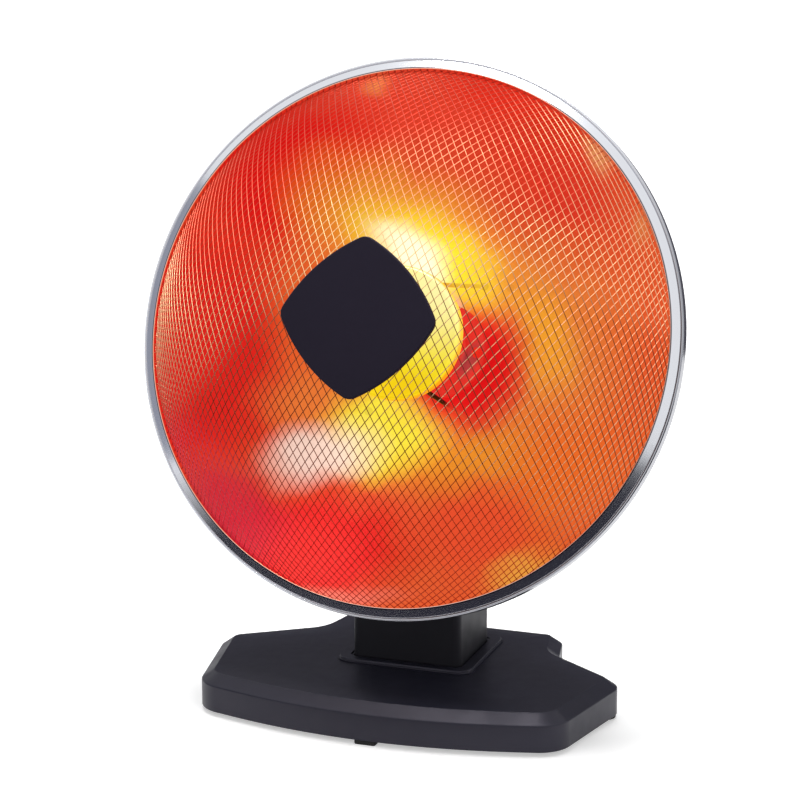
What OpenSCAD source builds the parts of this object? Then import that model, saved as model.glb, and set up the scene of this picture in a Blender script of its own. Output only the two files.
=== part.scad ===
// Parabolic heater: a domed dish on a tilting hinge, a square neck and a low weighted base.
// Units are millimetres, Z is up, and the front of the heater faces -Y.
// The origin is on the floor, under the middle of the whole heater.
// Head pieces are drawn in the dish's own frame: X right, Y up the dish, Z out of its mouth,
// with Z = 0 on the face of the reflector's lip.

/* [Dish] */
// Outer radius of the bezel ring
bezel_r = 189; // [185:1:200]
// Width of the bezel, from its inner edge to the outside of its bead
bezel_band = 8.5; // [8:0.5:12]
// Width of the bead round the bezel's edge
bezel_bead = 2.2; // [1.8:0.1:2.6]
// Slope of the bezel's face, in degrees
bezel_slope = 27; // [15:1:30]
// Depth of the bezel's skirt behind the lip
bezel_skirt = 8; // [7:1:14]
// Height of the bezel's inner edge above the lip
bezel_rise = 5.8; // [5.4:0.2:7]
// Thickness of the bezel and reflector sheet
sheet_t = 1.2; // [0.8:0.1:1.5]
// Depth of the reflector, from its lip to the vertex of its curve
dish_depth = 84; // [76:1:88]
// Radius of the flat seat in the middle of the reflector
seat_r = 36; // [35:1:40]
// Height of the grille's crown above the lip
grille_rise = 96; // [90:1:110]
// Side of a grille wire
wire_d = 1.6; // [1:0.1:2.2]
// Wires each way in the grille
mesh_wires = 16; // [10:2:16]
// Direction midway between the two sets of wires, in degrees from level
mesh_middle = 86.5; // [80:0.5:100]
// Lean of each set of wires from that direction, in degrees
mesh_lean = 32.5; // [25:0.5:45]

/* [Badge] */
// Half the badge's corner-to-corner size
badge_half = 52; // [44:1:60]
// Thickness of the badge plate
badge_t = 4; // [3:0.5:6]
// Rounding of the badge's corners
badge_corner_r = 9; // [7:0.5:12]
// Radius of the badge's bowed sides
badge_side_r = 110; // [90:5:160]

/* [Element] */
// Radius of the deflector cap
cap_r = 44.8; // [38:0.2:50]
// Height of the cap's top above the lip
cap_top = 26; // [20:1:34]
// Depth of the cap's skirt
cap_skirt = 10; // [6:1:14]
// Radius of the ceramic former
former_r = 14.2; // [12:0.2:16]
// Loops of the heating coil
coil_loops = 14; // [8:1:16]
// Radius of the coil's tube
coil_tube_r = 1.6; // [1.2:0.1:1.8]
// Radius of the ceramic hub
hub_r = 33; // [33:0.5:34]
// Thickness of the ceramic hub
hub_t = 8; // [6:0.5:10]
// Radius of the tie rod
rod_r = 2.5; // [2:0.1:3]

/* [Tilt] */
// Tilt of the dish above level, in degrees, as it stands at rest
tilt = 19; // [14:1:22]
// Hinge axis behind the neck's centre line
pivot_y = 16; // [14:1:17]
// Height of the hinge axis above the floor
pivot_z = 143; // [141:1:150]
// Distance of the hinge axis below the dish axis
pivot_drop = 94; // [92:1:97]
// Distance of the hinge axis behind the reflector's lip
pivot_back = 83; // [82:1:86]
// Radius of the hinge bolt
bolt_r = 4; // [3:0.5:5]
// Radius of the ears on the neck
ear_r = 14; // [12:0.5:15]
// Radius of the bracket's barrel
barrel_r = 13; // [11:0.5:14]
// Gap between the ears
fork_w = 60; // [54:1:62]

/* [Rear housing] */
// Radius of the housing at the reflector
housing_r = 76; // [74:1:78]
// Radius of the housing at its back
housing_back_r = 70; // [69:1:72]
// Distance of the housing's back behind the lip
housing_back = 122; // [118:1:128]
// Wall of the housing
housing_wall = 2.4; // [2:0.2:3]
// Radius of the back cover
cover_r = 64; // [63:0.5:64]
// Thickness of the back cover
cover_t = 2.6; // [2:0.2:3]

/* [Controls] */
// Radius of the heat knob
knob_r = 21; // [18:1:23]
// Height of the heat knob
knob_h = 16; // [12:1:20]
// Height of the knob's axis above the dish axis
knob_up = 24; // [23:1:26]
// Radius of the thermostat's shaft
shaft_r = 3; // [2.5:0.1:3.5]
// Distance of the rocker below the dish axis
rocker_down = 30; // [28:1:33]
// Half the swing of the rocker, in degrees
rocker_swing = 8; // [6:1:9]

/* [Neck] */
// Width of the neck
neck_w = 77.7; // [74:0.1:82]
// Depth of the neck
neck_d = 65.4; // [62:0.1:70]
// Rounding of the neck's upright edges
neck_edge_r = 5; // [3:0.5:8]
// Wall of the neck
neck_wall = 3; // [2.4:0.2:4]
// Height of the neck's front edge above the floor
neck_front_z = 84; // [80:1:86]
// Width of the collar's rim round the neck
collar_rim = 9; // [6:0.5:10]
// Height of the collar
collar_h = 2.5; // [2:0.5:5]
// Place of the neck's centre line behind the origin
neck_y = 14.6; // [10:0.1:20]

/* [Base] */
// Half width of the base at its widest
base_half_w = 146; // [138:1:150]
// Half width of the front corners
front_half_w = 128; // [124:1:134]
// Front of the base before the neck's centre line, at the middle of its bow
base_front = 116; // [112:0.5:124]
// Back of the base behind the neck's centre line
base_rear = 73; // [70:1:80]
// Half width of the narrow rear part
rear_half_w = 82; // [78:1:90]
// Radius of the bow along the front
bow_r = 380; // [320:10:420]
// Top of the upright wall above the floor
wall_top = 21.5; // [19:0.5:23]
// Height of the bevel above the wall
bevel_h = 6.5; // [5:0.5:9]
// Depth of the bevel inside the wall
bevel_in = 9; // [7:0.5:10]
// Rise of the crowned top above the bevel
crown = 1.3; // [1:0.1:3]
// Wall of the base shell
shell_t = 2.6; // [2:0.1:3]
// Thickness of the base plate
plate_t = 2.5; // [2:0.1:3]
// Height of the feet
foot_h = 3; // [2.5:0.5:5]
// Radius of the round feet
foot_r = 8; // [6:0.5:9]

/* [Ballast and switch] */
// Half width of the ballast
ballast_half_w = 84; // [70:1:90]
// Depth of the ballast
ballast_d = 50; // [40:1:52]
// Thickness of the ballast
ballast_t = 13; // [8:0.5:13]
// Travel of the tip-over plunger
plunger_travel = 5; // [3:0.5:5]
// Radius of the tip-over plunger
plunger_r = 5; // [4:0.5:6]

/* [Hidden] */
// Clearances: between pieces that rest on each other, round a fixed screw, and round a turning shaft.
seat_gap = 0.3;
screw_gap = 0.1;
run_gap = 0.05;
eps = 0.5;
$fn = 64;

// Dish: the reflector is a paraboloid from its lip to a flat seat.
lip_w = 5;
bezel_inner = bezel_r - bezel_band;
dish_r = bezel_inner + 1.5;
lip_r = dish_r + lip_w;
function curve_depth(r) = dish_depth * (1 - pow(r / dish_r, 2));
function curve_slope(r) = atan(2 * dish_depth * r / pow(dish_r, 2));
function behind_curve(r, d) = [r + d * sin(curve_slope(r)), -curve_depth(r) - d * cos(curve_slope(r))];
seat_depth = curve_depth(seat_r);
seat_back = seat_depth + sheet_t;

// Grille: a sphere through the dome's edge and its crown, cut by two families of planes.
hoop_r = dish_r + 1;
hoop_z = wire_d / 2 + seat_gap;
dome_edge_r = bezel_inner;
dome_edge_z = hoop_z;
dome_h = grille_rise - dome_edge_z;
dome_r = (pow(dome_edge_r, 2) + pow(dome_h, 2)) / (2 * dome_h);
dome_centre = grille_rise - dome_r;
wire_pitch = 2 * dome_edge_r / mesh_wires;
wire_steps = 10;
chord_sag = dome_r * (1 - cos(asin(dome_edge_r / dome_r) / wire_steps));
function dome_z(r) = dome_centre + sqrt(pow(dome_r, 2) - pow(r, 2));

// Badge and its clamp, on either side of the grille's crown.
badge_back = grille_rise + wire_d / 2 + seat_gap;
clamp_r = 15;
clamp_t = 2;
clamp_top = dome_z(clamp_r) - chord_sag - wire_d / 2 - seat_gap;
badge_boss_r = 5;
badge_screw_r = 1.6;

// Element, on the dish's axis from the reflector's seat to the cap.
hub_front = -seat_depth + hub_t;
hub_step_r = 21;
hub_step_z = hub_front + 5;
cap_t = 1.2;
cap_under = cap_top - cap_t;
collar_z = cap_top - 12;
former_flange_r = 20;
former_flange_t = 4;
former_neck_r = 8;
coil_r = former_r + seat_gap + coil_tube_r;
coil_bend = 4;
coil_stub = 2 * coil_tube_r;
terminal_r = 2;
terminal_x = 28;
terminal_tail = 16;
terminal_nut_r = 4;
terminal_nut_h = 2.4;
terminal_hole_r = 4.5;
hub_screw_r = 2;
hub_head_r = 3.8;
hub_head_h = 2.4;
hub_bite = 4;
hub_screw_at = [[0, 27], [12, -24], [-12, -24]];
tie_nut_r = 5.5;
tie_nut_h = 4;
post_r = 1.5;
post_pad_r = 2.8;
post_pad_h = 1;
post_foot_r = 54;
post_top_r = cap_r - 6.3;

// Bracket: a pad against the reflector's seat and an arm down to the hinge barrel.
pad_w = 44;
pad_t = 4;
pad_front = -seat_back - seat_gap;
pad_top = 33;
barrel_w = fork_w - 3;
washer_t = 1.2;
washer_r = 11;
bolt_head_r = 9;
bolt_head_h = 4;
hinge_nut_r = 8.5;
hinge_nut_h = 6;

// Dish frame's place on the neck: the hinge axis is shared.
dish_y = neck_y + pivot_y - pivot_back * cos(tilt) + pivot_drop * sin(tilt);
dish_z = pivot_z + pivot_drop * cos(tilt) + pivot_back * sin(tilt);

// Housing and cover.
flange_in_r = housing_r - 16;
rivet_at_r = housing_r - 10;
flange_t = 2;
cover_front = -housing_back + cover_t;
ledge_t = 2.3;
ledge_r = cover_r - 2;
boss_at_r = cover_r - 5;
rivet_r = 1.6;
cover_screw_r = 1.4;

// Controls on the back cover.
thermostat_r = 16;
thermostat_h = 21;
bush_r = 5;
bush_out = 2;
knob_gap = 0.6;
sleeve_w = 29.6;
sleeve_d = 15.6;
switch_depth = 25.5;
blade_t = 0.8;
blade_l = 7.5;
rocker_half = 13.2;
rocker_w = 12.4;
rocker_pivot = -housing_back + 2.5;
lamp_r = 3.8;
lamp_down = 9;
cutout_r = 7.5;
cutout_h = 7;
cutout_gap = 2.5;
cutout_at_r = flange_in_r - cutout_r - cutout_gap;

// Neck and base levels above the floor.
plate_z = foot_h;
plate_top = plate_z + plate_t;
bevel_top = wall_top + bevel_h;
crown_top = bevel_top + crown;
crown_in = 17;
pillar_h = 2.5;
neck_z = plate_top + pillar_h;
neck_boss_r = 5.5;
neck_boss_x = neck_w / 2 - neck_wall - 4.3;
neck_boss_y = neck_d / 2 - neck_wall - 4.2;
slot_floor = pivot_z - barrel_r - 2.5;
slot_h = pivot_z + 2 * ear_r - slot_floor;

// Base outline: corner points with their rounding, right half, from the front to the back.
// The bow's corner lies before the bow by what the rounding takes off.
bow_angle = 15;
bow_tip_y = -base_front - bow_r * (1 / cos(bow_angle) - 1);
front_corner_y = bow_tip_y + front_half_w * tan(bow_angle);
half_outline = [
  [front_half_w, front_corner_y, 24],
  [base_half_w, -6, 16],
  [rear_half_w + 8, base_rear - 39, 20],
  [rear_half_w, base_rear, 12]
];
corner_steps = 6;
base_corners = concat(
  [[0, bow_tip_y, bow_r]],
  half_outline,
  [for (i = [len(half_outline) - 1:-1:0]) [-half_outline[i][0], half_outline[i][1], half_outline[i][2]]]
);

shell_boss_at = [[115, -56], [-115, -56], [68.5, 40], [-68.5, 40]];
shell_boss_r = 4.5;
shell_boss_sink = 0.3;
screw_r = 2;
screw_head_r = 3.8;
screw_head_h = 2.2;
screw_len = 12;
ballast_front = base_front - 17;
ballast_screw_at = [[50, -72], [-50, -72]];
foot_stem_r = 3;
foot_stem_h = 4;
foot_side_y = -10;
foot_side_in = foot_r + 3;
foot_rear_at = [rear_half_w - 14, base_rear - 12];
foot_front_w = 15;
foot_front_d = 12;
switch_y = 52;
plunger_collar_z = 11;
plunger_collar_r = 7.5;
switch_z = plunger_collar_z + 6;
switch_w = 32;
switch_d = 12;
switch_leg_w = 4;
spring_r = 4.6;
spring_wire_r = 0.5;
spring_loops = 4;
inlet_x = -36;
block_w = 24;
block_d = 14;
block_h = 12;
block_back = 20;
block_hole_r = 2.2;
inlet_r = 3.7;
inlet_neck_r = inlet_r + 1.3;
inlet_flange_r = inlet_r + 2.1;
inlet_z = plate_top + 2 * seat_gap + inlet_flange_r;

// ---- Frames ----

module at_neck() {
  translate([0, neck_y, 0]) children();
}

module at_head() {
  translate([0, dish_y, dish_z]) rotate([90 - tilt, 0, 0]) children();
}

// On the reflector's curve at radius r and a turn round the axis: Z is the curve's normal.
module on_curve(r, turn) {
  rotate([0, 0, turn]) translate([r, 0, -curve_depth(r)]) rotate([0, -curve_slope(r), 0]) children();
}

// Along X, centred.
module along_x(r, w) {
  rotate([0, 90, 0]) cylinder(r = r, h = w, center = true);
}

// A hexagon nut or bolt head standing on Z = 0.
module hexagon(r, h) {
  cylinder(r = r, h = h, $fn = 6);
}

// ---- Outlines ----

// Corner i of a closed list moved in by d from both its sides. The list runs anticlockwise.
function unit(v) = v / norm(v);
function inward(a, b) = let (u = unit(b - a)) [-u[1], u[0]];
function point(c) = [c[0], c[1]];
function corner_in(list, i, d) =
  let (
    n = len(list),
    p = point(list[(i + n - 1) % n]),
    q = point(list[i]),
    s = point(list[(i + 1) % n]),
    a = inward(p, q),
    b = inward(q, s)
  )
  q + (a + b) * d / (1 + a * b);

// Side on which a corner turns: 1 for a corner that stands out, -1 for one that is drawn in.
function turn_side(p, q, s) =
  let (a = q - p, b = s - q)
  (a[0] * b[1] - a[1] * b[0]) > 0 ? 1 : -1;

// Points of corner q between p and s, rounded by r.
function round_corner(p, q, s, r, steps) =
  let (
    a = unit(p - q),
    b = unit(s - q),
    half = acos(a * b) / 2,
    centre = q + unit(a + b) * r / sin(half),
    start = q + a * r / tan(half),
    side = turn_side(p, q, s),
    first = atan2(start[1] - centre[1], start[0] - centre[0]),
    sweep = side * (180 - 2 * half)
  )
  [for (k = [0:steps]) centre + r * [cos(first + sweep * k / steps), sin(first + sweep * k / steps)]];

// The base's outline moved in by d.
function base_outline(d) =
  let (
    n = len(base_corners),
    moved = [for (i = [0:n - 1]) corner_in(base_corners, i, d)]
  )
  [for (i = [0:n - 1])
    let (
      p = moved[(i + n - 1) % n],
      q = moved[i],
      s = moved[(i + 1) % n],
      r = max(1.5, base_corners[i][2] - turn_side(p, q, s) * d)
    )
    each round_corner(p, q, s, r, corner_steps)];

// A closed solid through rings of equally many points.
module loft(rings) {
  n = len(rings[0]);
  m = len(rings);
  walls = [for (j = [0:m - 2], i = [0:n - 1])
    let (a = j * n + i, b = j * n + (i + 1) % n)
    each [[a, a + n, b], [b, a + n, b + n]]];
  bottom = [for (i = [0:n - 1]) i];
  top = [for (i = [n - 1:-1:0]) (m - 1) * n + i];
  polyhedron(points = [for (ring = rings) each ring], faces = concat([bottom], walls, [top]));
}

function at_height(outline, z) = [for (p = outline) [p[0], p[1], z]];

module rounded_box(w, d, r, z0, z1) {
  translate([0, 0, z0]) linear_extrude(z1 - z0) rounded_square(w, d, r);
}

module rounded_square(w, d, r) {
  square([w - 2 * r, d], center = true);
  square([w, d - 2 * r], center = true);
  for (x = [-1, 1], y = [-1, 1])
    translate([x * (w / 2 - r), y * (d / 2 - r)]) circle(r);
}

// A blade terminal standing on Z = 0, with its root sunk in what carries it.
module blade(w) {
  translate([-w / 2, -blade_t / 2, -eps]) cube([w, blade_t, blade_l + eps]);
}

// A pan-head screw: the head's face is on Z = 0 and the shank runs up.
module screw(r, head_r, head_h, length) {
  translate([0, 0, -head_h]) cylinder(r = head_r, h = head_h);
  translate([0, 0, -eps]) cylinder(r = r, h = length + eps);
}

// ---- Base ----

module base_body(extra_in, drop, bottom) {
  loft([
    at_height(base_outline(extra_in), bottom),
    at_height(base_outline(extra_in), wall_top - drop / 2),
    at_height(base_outline(bevel_in + extra_in), bevel_top - drop),
    at_height(base_outline(bevel_in + crown_in + extra_in), crown_top - drop)
  ]);
}

module shell_bosses(r, z0, z1) {
  for (p = shell_boss_at)
    translate([p[0], p[1], z0]) cylinder(r = r, h = z1 - z0);
}

module base_shell() {
  color([0.17, 0.17, 0.2]) at_neck() difference() {
    union() {
      difference() {
        base_body(0, 0, plate_z);
        base_body(shell_t, shell_t, plate_z - eps);
      }
      shell_bosses(shell_boss_r, plate_top + seat_gap, crown_top - shell_t + shell_boss_sink);
    }
    shell_bosses(screw_r + screw_gap, plate_top, plate_z + screw_len + eps);
    translate([0, 0, bevel_top - 5])
      linear_extrude(20) rounded_square(neck_w + 2 * seat_gap, neck_d + 2 * seat_gap, neck_edge_r);
    translate([inlet_x, base_rear - shell_t - 2, inlet_z])
      rotate([-90, 0, 0]) cylinder(r = inlet_neck_r + 0.2, h = shell_t + 4);
  }
}

module plate_holes(places, r) {
  for (p = places)
    translate([p[0], p[1], plate_z - eps]) cylinder(r = r, h = 20);
}

neck_boss_at = [for (x = [-1, 1], y = [-1, 1]) [x * neck_boss_x, y * neck_boss_y]];
foot_at = [
  [0, -base_front + foot_front_d / 2 + 0.5],
  [-base_half_w + foot_side_in, foot_side_y],
  [base_half_w - foot_side_in, foot_side_y],
  [-foot_rear_at[0], foot_rear_at[1]],
  foot_rear_at
];

module base_plate() {
  color([0.14, 0.14, 0.15]) at_neck() difference() {
    union() {
      translate([0, 0, plate_z]) linear_extrude(plate_t) polygon(base_outline(shell_t + seat_gap));
      for (p = neck_boss_at)
        translate([p[0], p[1], plate_z]) cylinder(r = neck_boss_r, h = plate_t + pillar_h);
    }
    plate_holes(concat(neck_boss_at, shell_boss_at, ballast_screw_at), screw_r + screw_gap);
    plate_holes(foot_at, foot_stem_r + run_gap);
    plate_holes([[0, switch_y]], plunger_r + screw_gap);
  }
}

module ballast() {
  color([0.25, 0.25, 0.26]) at_neck() difference() {
    translate([0, -ballast_front + ballast_d / 2, 0])
      rounded_box(2 * ballast_half_w, ballast_d, 8, plate_top + seat_gap, plate_top + seat_gap + ballast_t);
    for (p = ballast_screw_at)
      translate([p[0], p[1], plate_z]) cylinder(r = screw_r + screw_gap, h = screw_len + eps);
  }
}

module base_screws() {
  color([0.7, 0.7, 0.72]) at_neck()
    for (p = concat(neck_boss_at, shell_boss_at, ballast_screw_at))
      translate([p[0], p[1], plate_z]) screw(screw_r, screw_head_r, screw_head_h, screw_len);
}

module foot_stem() {
  translate([0, 0, foot_h - eps]) cylinder(r = foot_stem_r, h = foot_stem_h + eps);
}

module round_foot(i) {
  color([0.08, 0.08, 0.08]) at_neck() translate([foot_at[i][0], foot_at[i][1], 0]) {
    cylinder(r = foot_r, h = foot_h);
    foot_stem();
  }
}

module foot_front() {
  color([0.08, 0.08, 0.08]) at_neck() translate([foot_at[0][0], foot_at[0][1], 0]) {
    rounded_box(foot_front_w, foot_front_d, 2, 0, foot_h);
    foot_stem();
  }
}

module tip_plunger() {
  color([0.85, 0.85, 0.82]) at_neck() translate([0, switch_y, 0]) {
    cylinder(r = plunger_r, h = plunger_collar_z + eps);
    translate([0, 0, plunger_collar_z]) cylinder(r = plunger_collar_r, h = 1.5);
    cylinder(r = 2, h = switch_z - seat_gap);
  }
}

module plunger_spring() {
  low = plunger_collar_z + 1.5 + spring_wire_r;
  high = switch_z - spring_wire_r;
  steps = spring_loops * 12;
  slope = atan((high - low) / (spring_loops * 2 * PI * spring_r));
  rings = [for (i = [0:steps])
    let (
      turned = 360 * spring_loops * i / steps,
      out = [cos(turned), sin(turned), 0],
      round = [-sin(turned), cos(turned), 0],
      across = [0, 0, 1] * cos(slope) - round * sin(slope),
      middle = spring_r * out + [0, 0, low + (high - low) * i / steps]
    )
    [for (k = [0:5]) middle + spring_wire_r * (cos(60 * k) * out + sin(60 * k) * across)]];
  color([0.7, 0.7, 0.7]) at_neck() translate([0, switch_y, 0]) loft(rings);
}

module tip_switch() {
  color([0.2, 0.2, 0.22]) at_neck() translate([0, switch_y, 0]) {
    translate([-switch_w / 2, -switch_d / 2, switch_z])
      cube([switch_w, switch_d, bevel_top - shell_t - seat_gap - 1 - switch_z]);
    for (x = [-switch_w / 2, switch_w / 2 - switch_leg_w])
      translate([x, -switch_d / 2, plate_top]) cube([switch_leg_w, switch_d, switch_z - plate_top + eps]);
  }
}

module cord_inlet() {
  color([0.1, 0.1, 0.1]) at_neck() translate([inlet_x, base_rear + seat_gap, inlet_z])
    rotate([90, 0, 0]) rotate_extrude() polygon([
      [inlet_r, -2.5], [inlet_flange_r - 0.8, -2.5], [inlet_flange_r, -1.7], [inlet_flange_r, 0],
      [inlet_neck_r, 0], [inlet_neck_r, shell_t + 2 * seat_gap], [inlet_flange_r, shell_t + 2 * seat_gap],
      [inlet_flange_r, 5.5], [inlet_neck_r, 5.5], [inlet_neck_r, 11], [inlet_r, 11]
    ]);
}

module terminal_block() {
  color([0.9, 0.9, 0.86]) at_neck() difference() {
    translate([inlet_x - block_w / 2, base_rear - block_back - block_d, plate_top]) cube([block_w, block_d, block_h]);
    for (x = [-block_w / 4, block_w / 4])
      translate([inlet_x + x, base_rear - block_back - block_d / 2, plate_top + block_h / 4])
        cylinder(r = block_hole_r, h = block_h);
  }
}

// ---- Neck and hinge ----

module neck_profile() {
  front = -neck_d / 2;
  rear = neck_d / 2;
  polygon([
    [front, neck_z], [rear, neck_z], [rear, pivot_z - 9],
    [pivot_y + ear_r * cos(20), pivot_z + ear_r * sin(20)], [pivot_y, pivot_z],
    [pivot_y - ear_r + 1, pivot_z - 7], [front + 22, neck_front_z + 28], [front, neck_front_z]
  ]);
  translate([pivot_y, pivot_z]) circle(ear_r);
}

module neck_hollow() {
  front = -neck_d / 2 + neck_wall;
  rear = neck_d / 2 - neck_wall;
  polygon([
    [front, neck_z - eps], [rear, neck_z - eps], [rear, slot_floor - neck_wall],
    [front + 26, slot_floor - neck_wall], [front + 20, neck_front_z + 20], [front, neck_front_z - 5]
  ]);
}

// A side profile drawn in Y and Z, given a width along X.
module from_side(w) {
  rotate([90, 0, 90]) linear_extrude(w, center = true) children();
}

module neck() {
  color([0.11, 0.11, 0.12]) at_neck() difference() {
    union() {
      difference() {
        intersection() {
          from_side(neck_w + 2) neck_profile();
          rounded_box(neck_w, neck_d, neck_edge_r, neck_z - eps, pivot_z + ear_r + eps);
        }
        from_side(neck_w - 2 * neck_wall) neck_hollow();
      }
      for (p = neck_boss_at)
        translate([p[0], p[1], neck_z]) cylinder(r = neck_boss_r, h = 14);
    }
    for (p = neck_boss_at)
      translate([p[0], p[1], plate_z]) cylinder(r = screw_r + screw_gap, h = screw_len + eps);
    translate([-fork_w / 2, -neck_d / 2 - eps, slot_floor]) cube([fork_w, neck_d + 2 * eps, slot_h]);
    translate([0, pivot_y, pivot_z]) along_x(bolt_r + run_gap, neck_w + 2);
    translate([0, pivot_y, slot_floor - neck_wall - eps]) cylinder(r = 6, h = neck_wall + 2 * eps);
  }
}

module neck_collar() {
  color([0.13, 0.13, 0.15]) at_neck() difference() {
    union() {
      rounded_box(neck_w + 2 * collar_rim + 2, neck_d + 2 * collar_rim + 2, 9, crown_top, crown_top + collar_h / 2);
      rounded_box(neck_w + 2 * collar_rim, neck_d + 2 * collar_rim, 8, crown_top, crown_top + collar_h);
    }
    rounded_box(neck_w + 2 * seat_gap, neck_d + 2 * seat_gap, neck_edge_r, crown_top - eps, crown_top + collar_h + eps);
    translate([0, 0, crown_top + collar_h - 1.2]) linear_extrude(5)
      rounded_square(neck_w + 4, neck_d + 4, neck_edge_r + 1.5);
  }
}

module hinge_bolt() {
  color([0.6, 0.6, 0.62]) at_neck() translate([0, pivot_y, pivot_z]) {
    translate([-bolt_r, 0, 0]) along_x(bolt_r, neck_w + 2 * bolt_r);
    translate([neck_w / 2 + bolt_head_h / 2, 0, 0]) along_x(bolt_head_r, bolt_head_h);
  }
}

module hinge_nut() {
  color([0.6, 0.6, 0.62]) at_neck() translate([-neck_w / 2, pivot_y, pivot_z]) difference() {
    rotate([0, -90, 0]) hexagon(hinge_nut_r, hinge_nut_h);
    along_x(bolt_r + run_gap, 20);
  }
}

module friction_washers() {
  color([0.75, 0.72, 0.6]) at_neck() translate([0, pivot_y, pivot_z])
    for (side = [-1, 1])
      translate([side * (fork_w / 2 - washer_t / 2 - 0.15), 0, 0]) difference() {
        along_x(washer_r, washer_t);
        along_x(bolt_r + run_gap, washer_t + 1);
      }
}

module tilt_bracket() {
  color([0.45, 0.45, 0.47]) at_head() difference() {
    union() {
      translate([-pad_w / 2, -pivot_drop, pad_front - pad_t]) cube([pad_w, pivot_drop + pad_top, pad_t]);
      for (x = [-pad_w / 2, pad_w / 2 - 4])
        translate([x, -pivot_drop, pad_front - pad_t - 8]) cube([4, pivot_drop - 4, 8 + eps]);
      translate([0, -pivot_drop, -pivot_back]) along_x(barrel_r, barrel_w);
    }
    translate([0, -pivot_drop, -pivot_back]) along_x(bolt_r + run_gap, barrel_w + 2);
    for (p = hub_screw_at)
      translate([p[0], p[1], pad_front - pad_t - eps]) cylinder(r = hub_screw_r + screw_gap, h = pad_t + 2 * eps);
    translate([0, 0, pad_front - pad_t - eps]) cylinder(r = rod_r + screw_gap, h = pad_t + 2 * eps);
  }
}

module hub_screws() {
  color([0.7, 0.7, 0.72]) at_head()
    for (p = hub_screw_at)
      translate([p[0], p[1], pad_front - pad_t])
        screw(hub_screw_r, hub_head_r, hub_head_h, pad_t + seat_gap + sheet_t + hub_bite);
}

// ---- Reflector, bezel and grille ----

module reflector() {
  steps = 22;
  radii = [for (i = [0:steps]) seat_r + (dish_r - seat_r) * i / steps];
  front = [for (r = radii) [r, -curve_depth(r)]];
  back = [for (i = [steps - 1:-1:0]) behind_curve(radii[i], sheet_t)];
  color([0.8, 0.8, 0.82]) at_head() difference() {
    rotate_extrude($fn = 96) polygon(concat(
      [[rod_r + screw_gap, -seat_depth]],
      front,
      [[lip_r, 0], [lip_r, -sheet_t], [dish_r + 1, -sheet_t]],
      back,
      [[seat_r, -seat_back], [rod_r + screw_gap, -seat_back]]
    ));
    for (p = hub_screw_at)
      translate([p[0], p[1], -seat_back - eps]) cylinder(r = hub_screw_r + screw_gap, h = sheet_t + 2 * eps);
    for (x = [-1, 1])
      translate([x * terminal_x, 0, -seat_back - eps]) cylinder(r = terminal_hole_r, h = sheet_t + 2 * eps);
    for (turn = [45:90:315])
      on_curve(rivet_at_r, turn) cylinder(r = rivet_r + screw_gap, h = 10, center = true);
  }
}

bead_drop = 0.4;
bead_z = 1.5;
bead_half = 1.1;
skirt_out = bezel_r - bead_drop;
skirt_in = skirt_out - sheet_t;
face_out_r = bezel_r - bezel_bead;
face_out_z = bezel_rise - (face_out_r - bezel_inner) * tan(bezel_slope);
module bezel_ring() {
  color([0.8, 0.82, 0.84]) at_head() rotate_extrude($fn = 96) polygon([
    [skirt_out, -bezel_skirt], [skirt_out, bead_z - bead_half],
    [bezel_r, bead_z - bead_drop], [bezel_r, bead_z + bead_drop],
    [bezel_r - bead_half / 2, bead_z + bead_half], [face_out_r + bead_drop, bead_z + bead_half],
    [face_out_r, face_out_z], [bezel_inner, bezel_rise], [bezel_inner, bezel_rise - sheet_t],
    [skirt_in, face_out_z - 2 * bead_drop - sheet_t], [skirt_in, -bezel_skirt]
  ]);
}

clip_w = 16;
clip_gap = 0.2;
clip_t = 2.5;
module bezel_clips() {
  out_r = skirt_in - clip_gap;
  lip_under = sheet_t + run_gap;
  color([0.6, 0.6, 0.6]) at_head()
    for (turn = [30:60:330])
      rotate([0, 0, turn]) intersection() {
        translate([dish_r + 1.8, -clip_w / 2, -bezel_skirt + 1]) cube([20, clip_w, bezel_skirt - 1 - lip_under]);
        difference() {
          translate([0, 0, -bezel_skirt]) cylinder(r = out_r, h = bezel_skirt);
          translate([0, 0, -bezel_skirt - 1]) cylinder(r = out_r - clip_t, h = bezel_skirt + 1 - lip_under - clip_t / 2);
        }
      }
}

// Square wire along a path: each place holds a point, a direction across it and a direction up.
module square_wire(path, half) {
  rings = [for (p = path) [
    p[0] - half * p[1] - half * p[2], p[0] + half * p[1] - half * p[2],
    p[0] + half * p[1] + half * p[2], p[0] - half * p[1] + half * p[2]
  ]];
  loft(rings);
}

// A grille wire in the plane at distance off from the axis: up over the dome, and out to the hoop.
module dome_wire(off) {
  reach = sqrt(pow(dome_edge_r, 2) - pow(off, 2));
  end = sqrt(pow(hoop_r, 2) - pow(off, 2));
  arc_r = sqrt(pow(dome_r, 2) - pow(off, 2));
  swing = asin(reach / arc_r);
  arc = [for (i = [0:wire_steps])
    let (a = -swing + 2 * swing * i / wire_steps)
    [[arc_r * sin(a), off, dome_centre + arc_r * cos(a)], [0, 1, 0], [sin(a), 0, cos(a)]]];
  square_wire(concat(
    [[[-end, off, hoop_z], [0, 1, 0], [0, 0, 1]]],
    arc,
    [[[end, off, hoop_z], [0, 1, 0], [0, 0, 1]]]
  ), wire_d / 2);
}

module grille_hoop() {
  segments = 48;
  for (i = [0:segments - 1]) hull() for (k = [i, i + 1])
    rotate([0, 0, k * 360 / segments]) translate([hoop_r, 0, hoop_z])
      cube([wire_d * 1.5, 0.05, wire_d], center = true);
}

module grille() {
  color([0.75, 0.72, 0.66]) at_head() {
    for (turn = [mesh_middle - mesh_lean, mesh_middle + mesh_lean], k = [0:mesh_wires - 1])
      rotate([0, 0, turn]) dome_wire((k + 0.5 - mesh_wires / 2) * wire_pitch);
    grille_hoop();
  }
}

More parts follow.
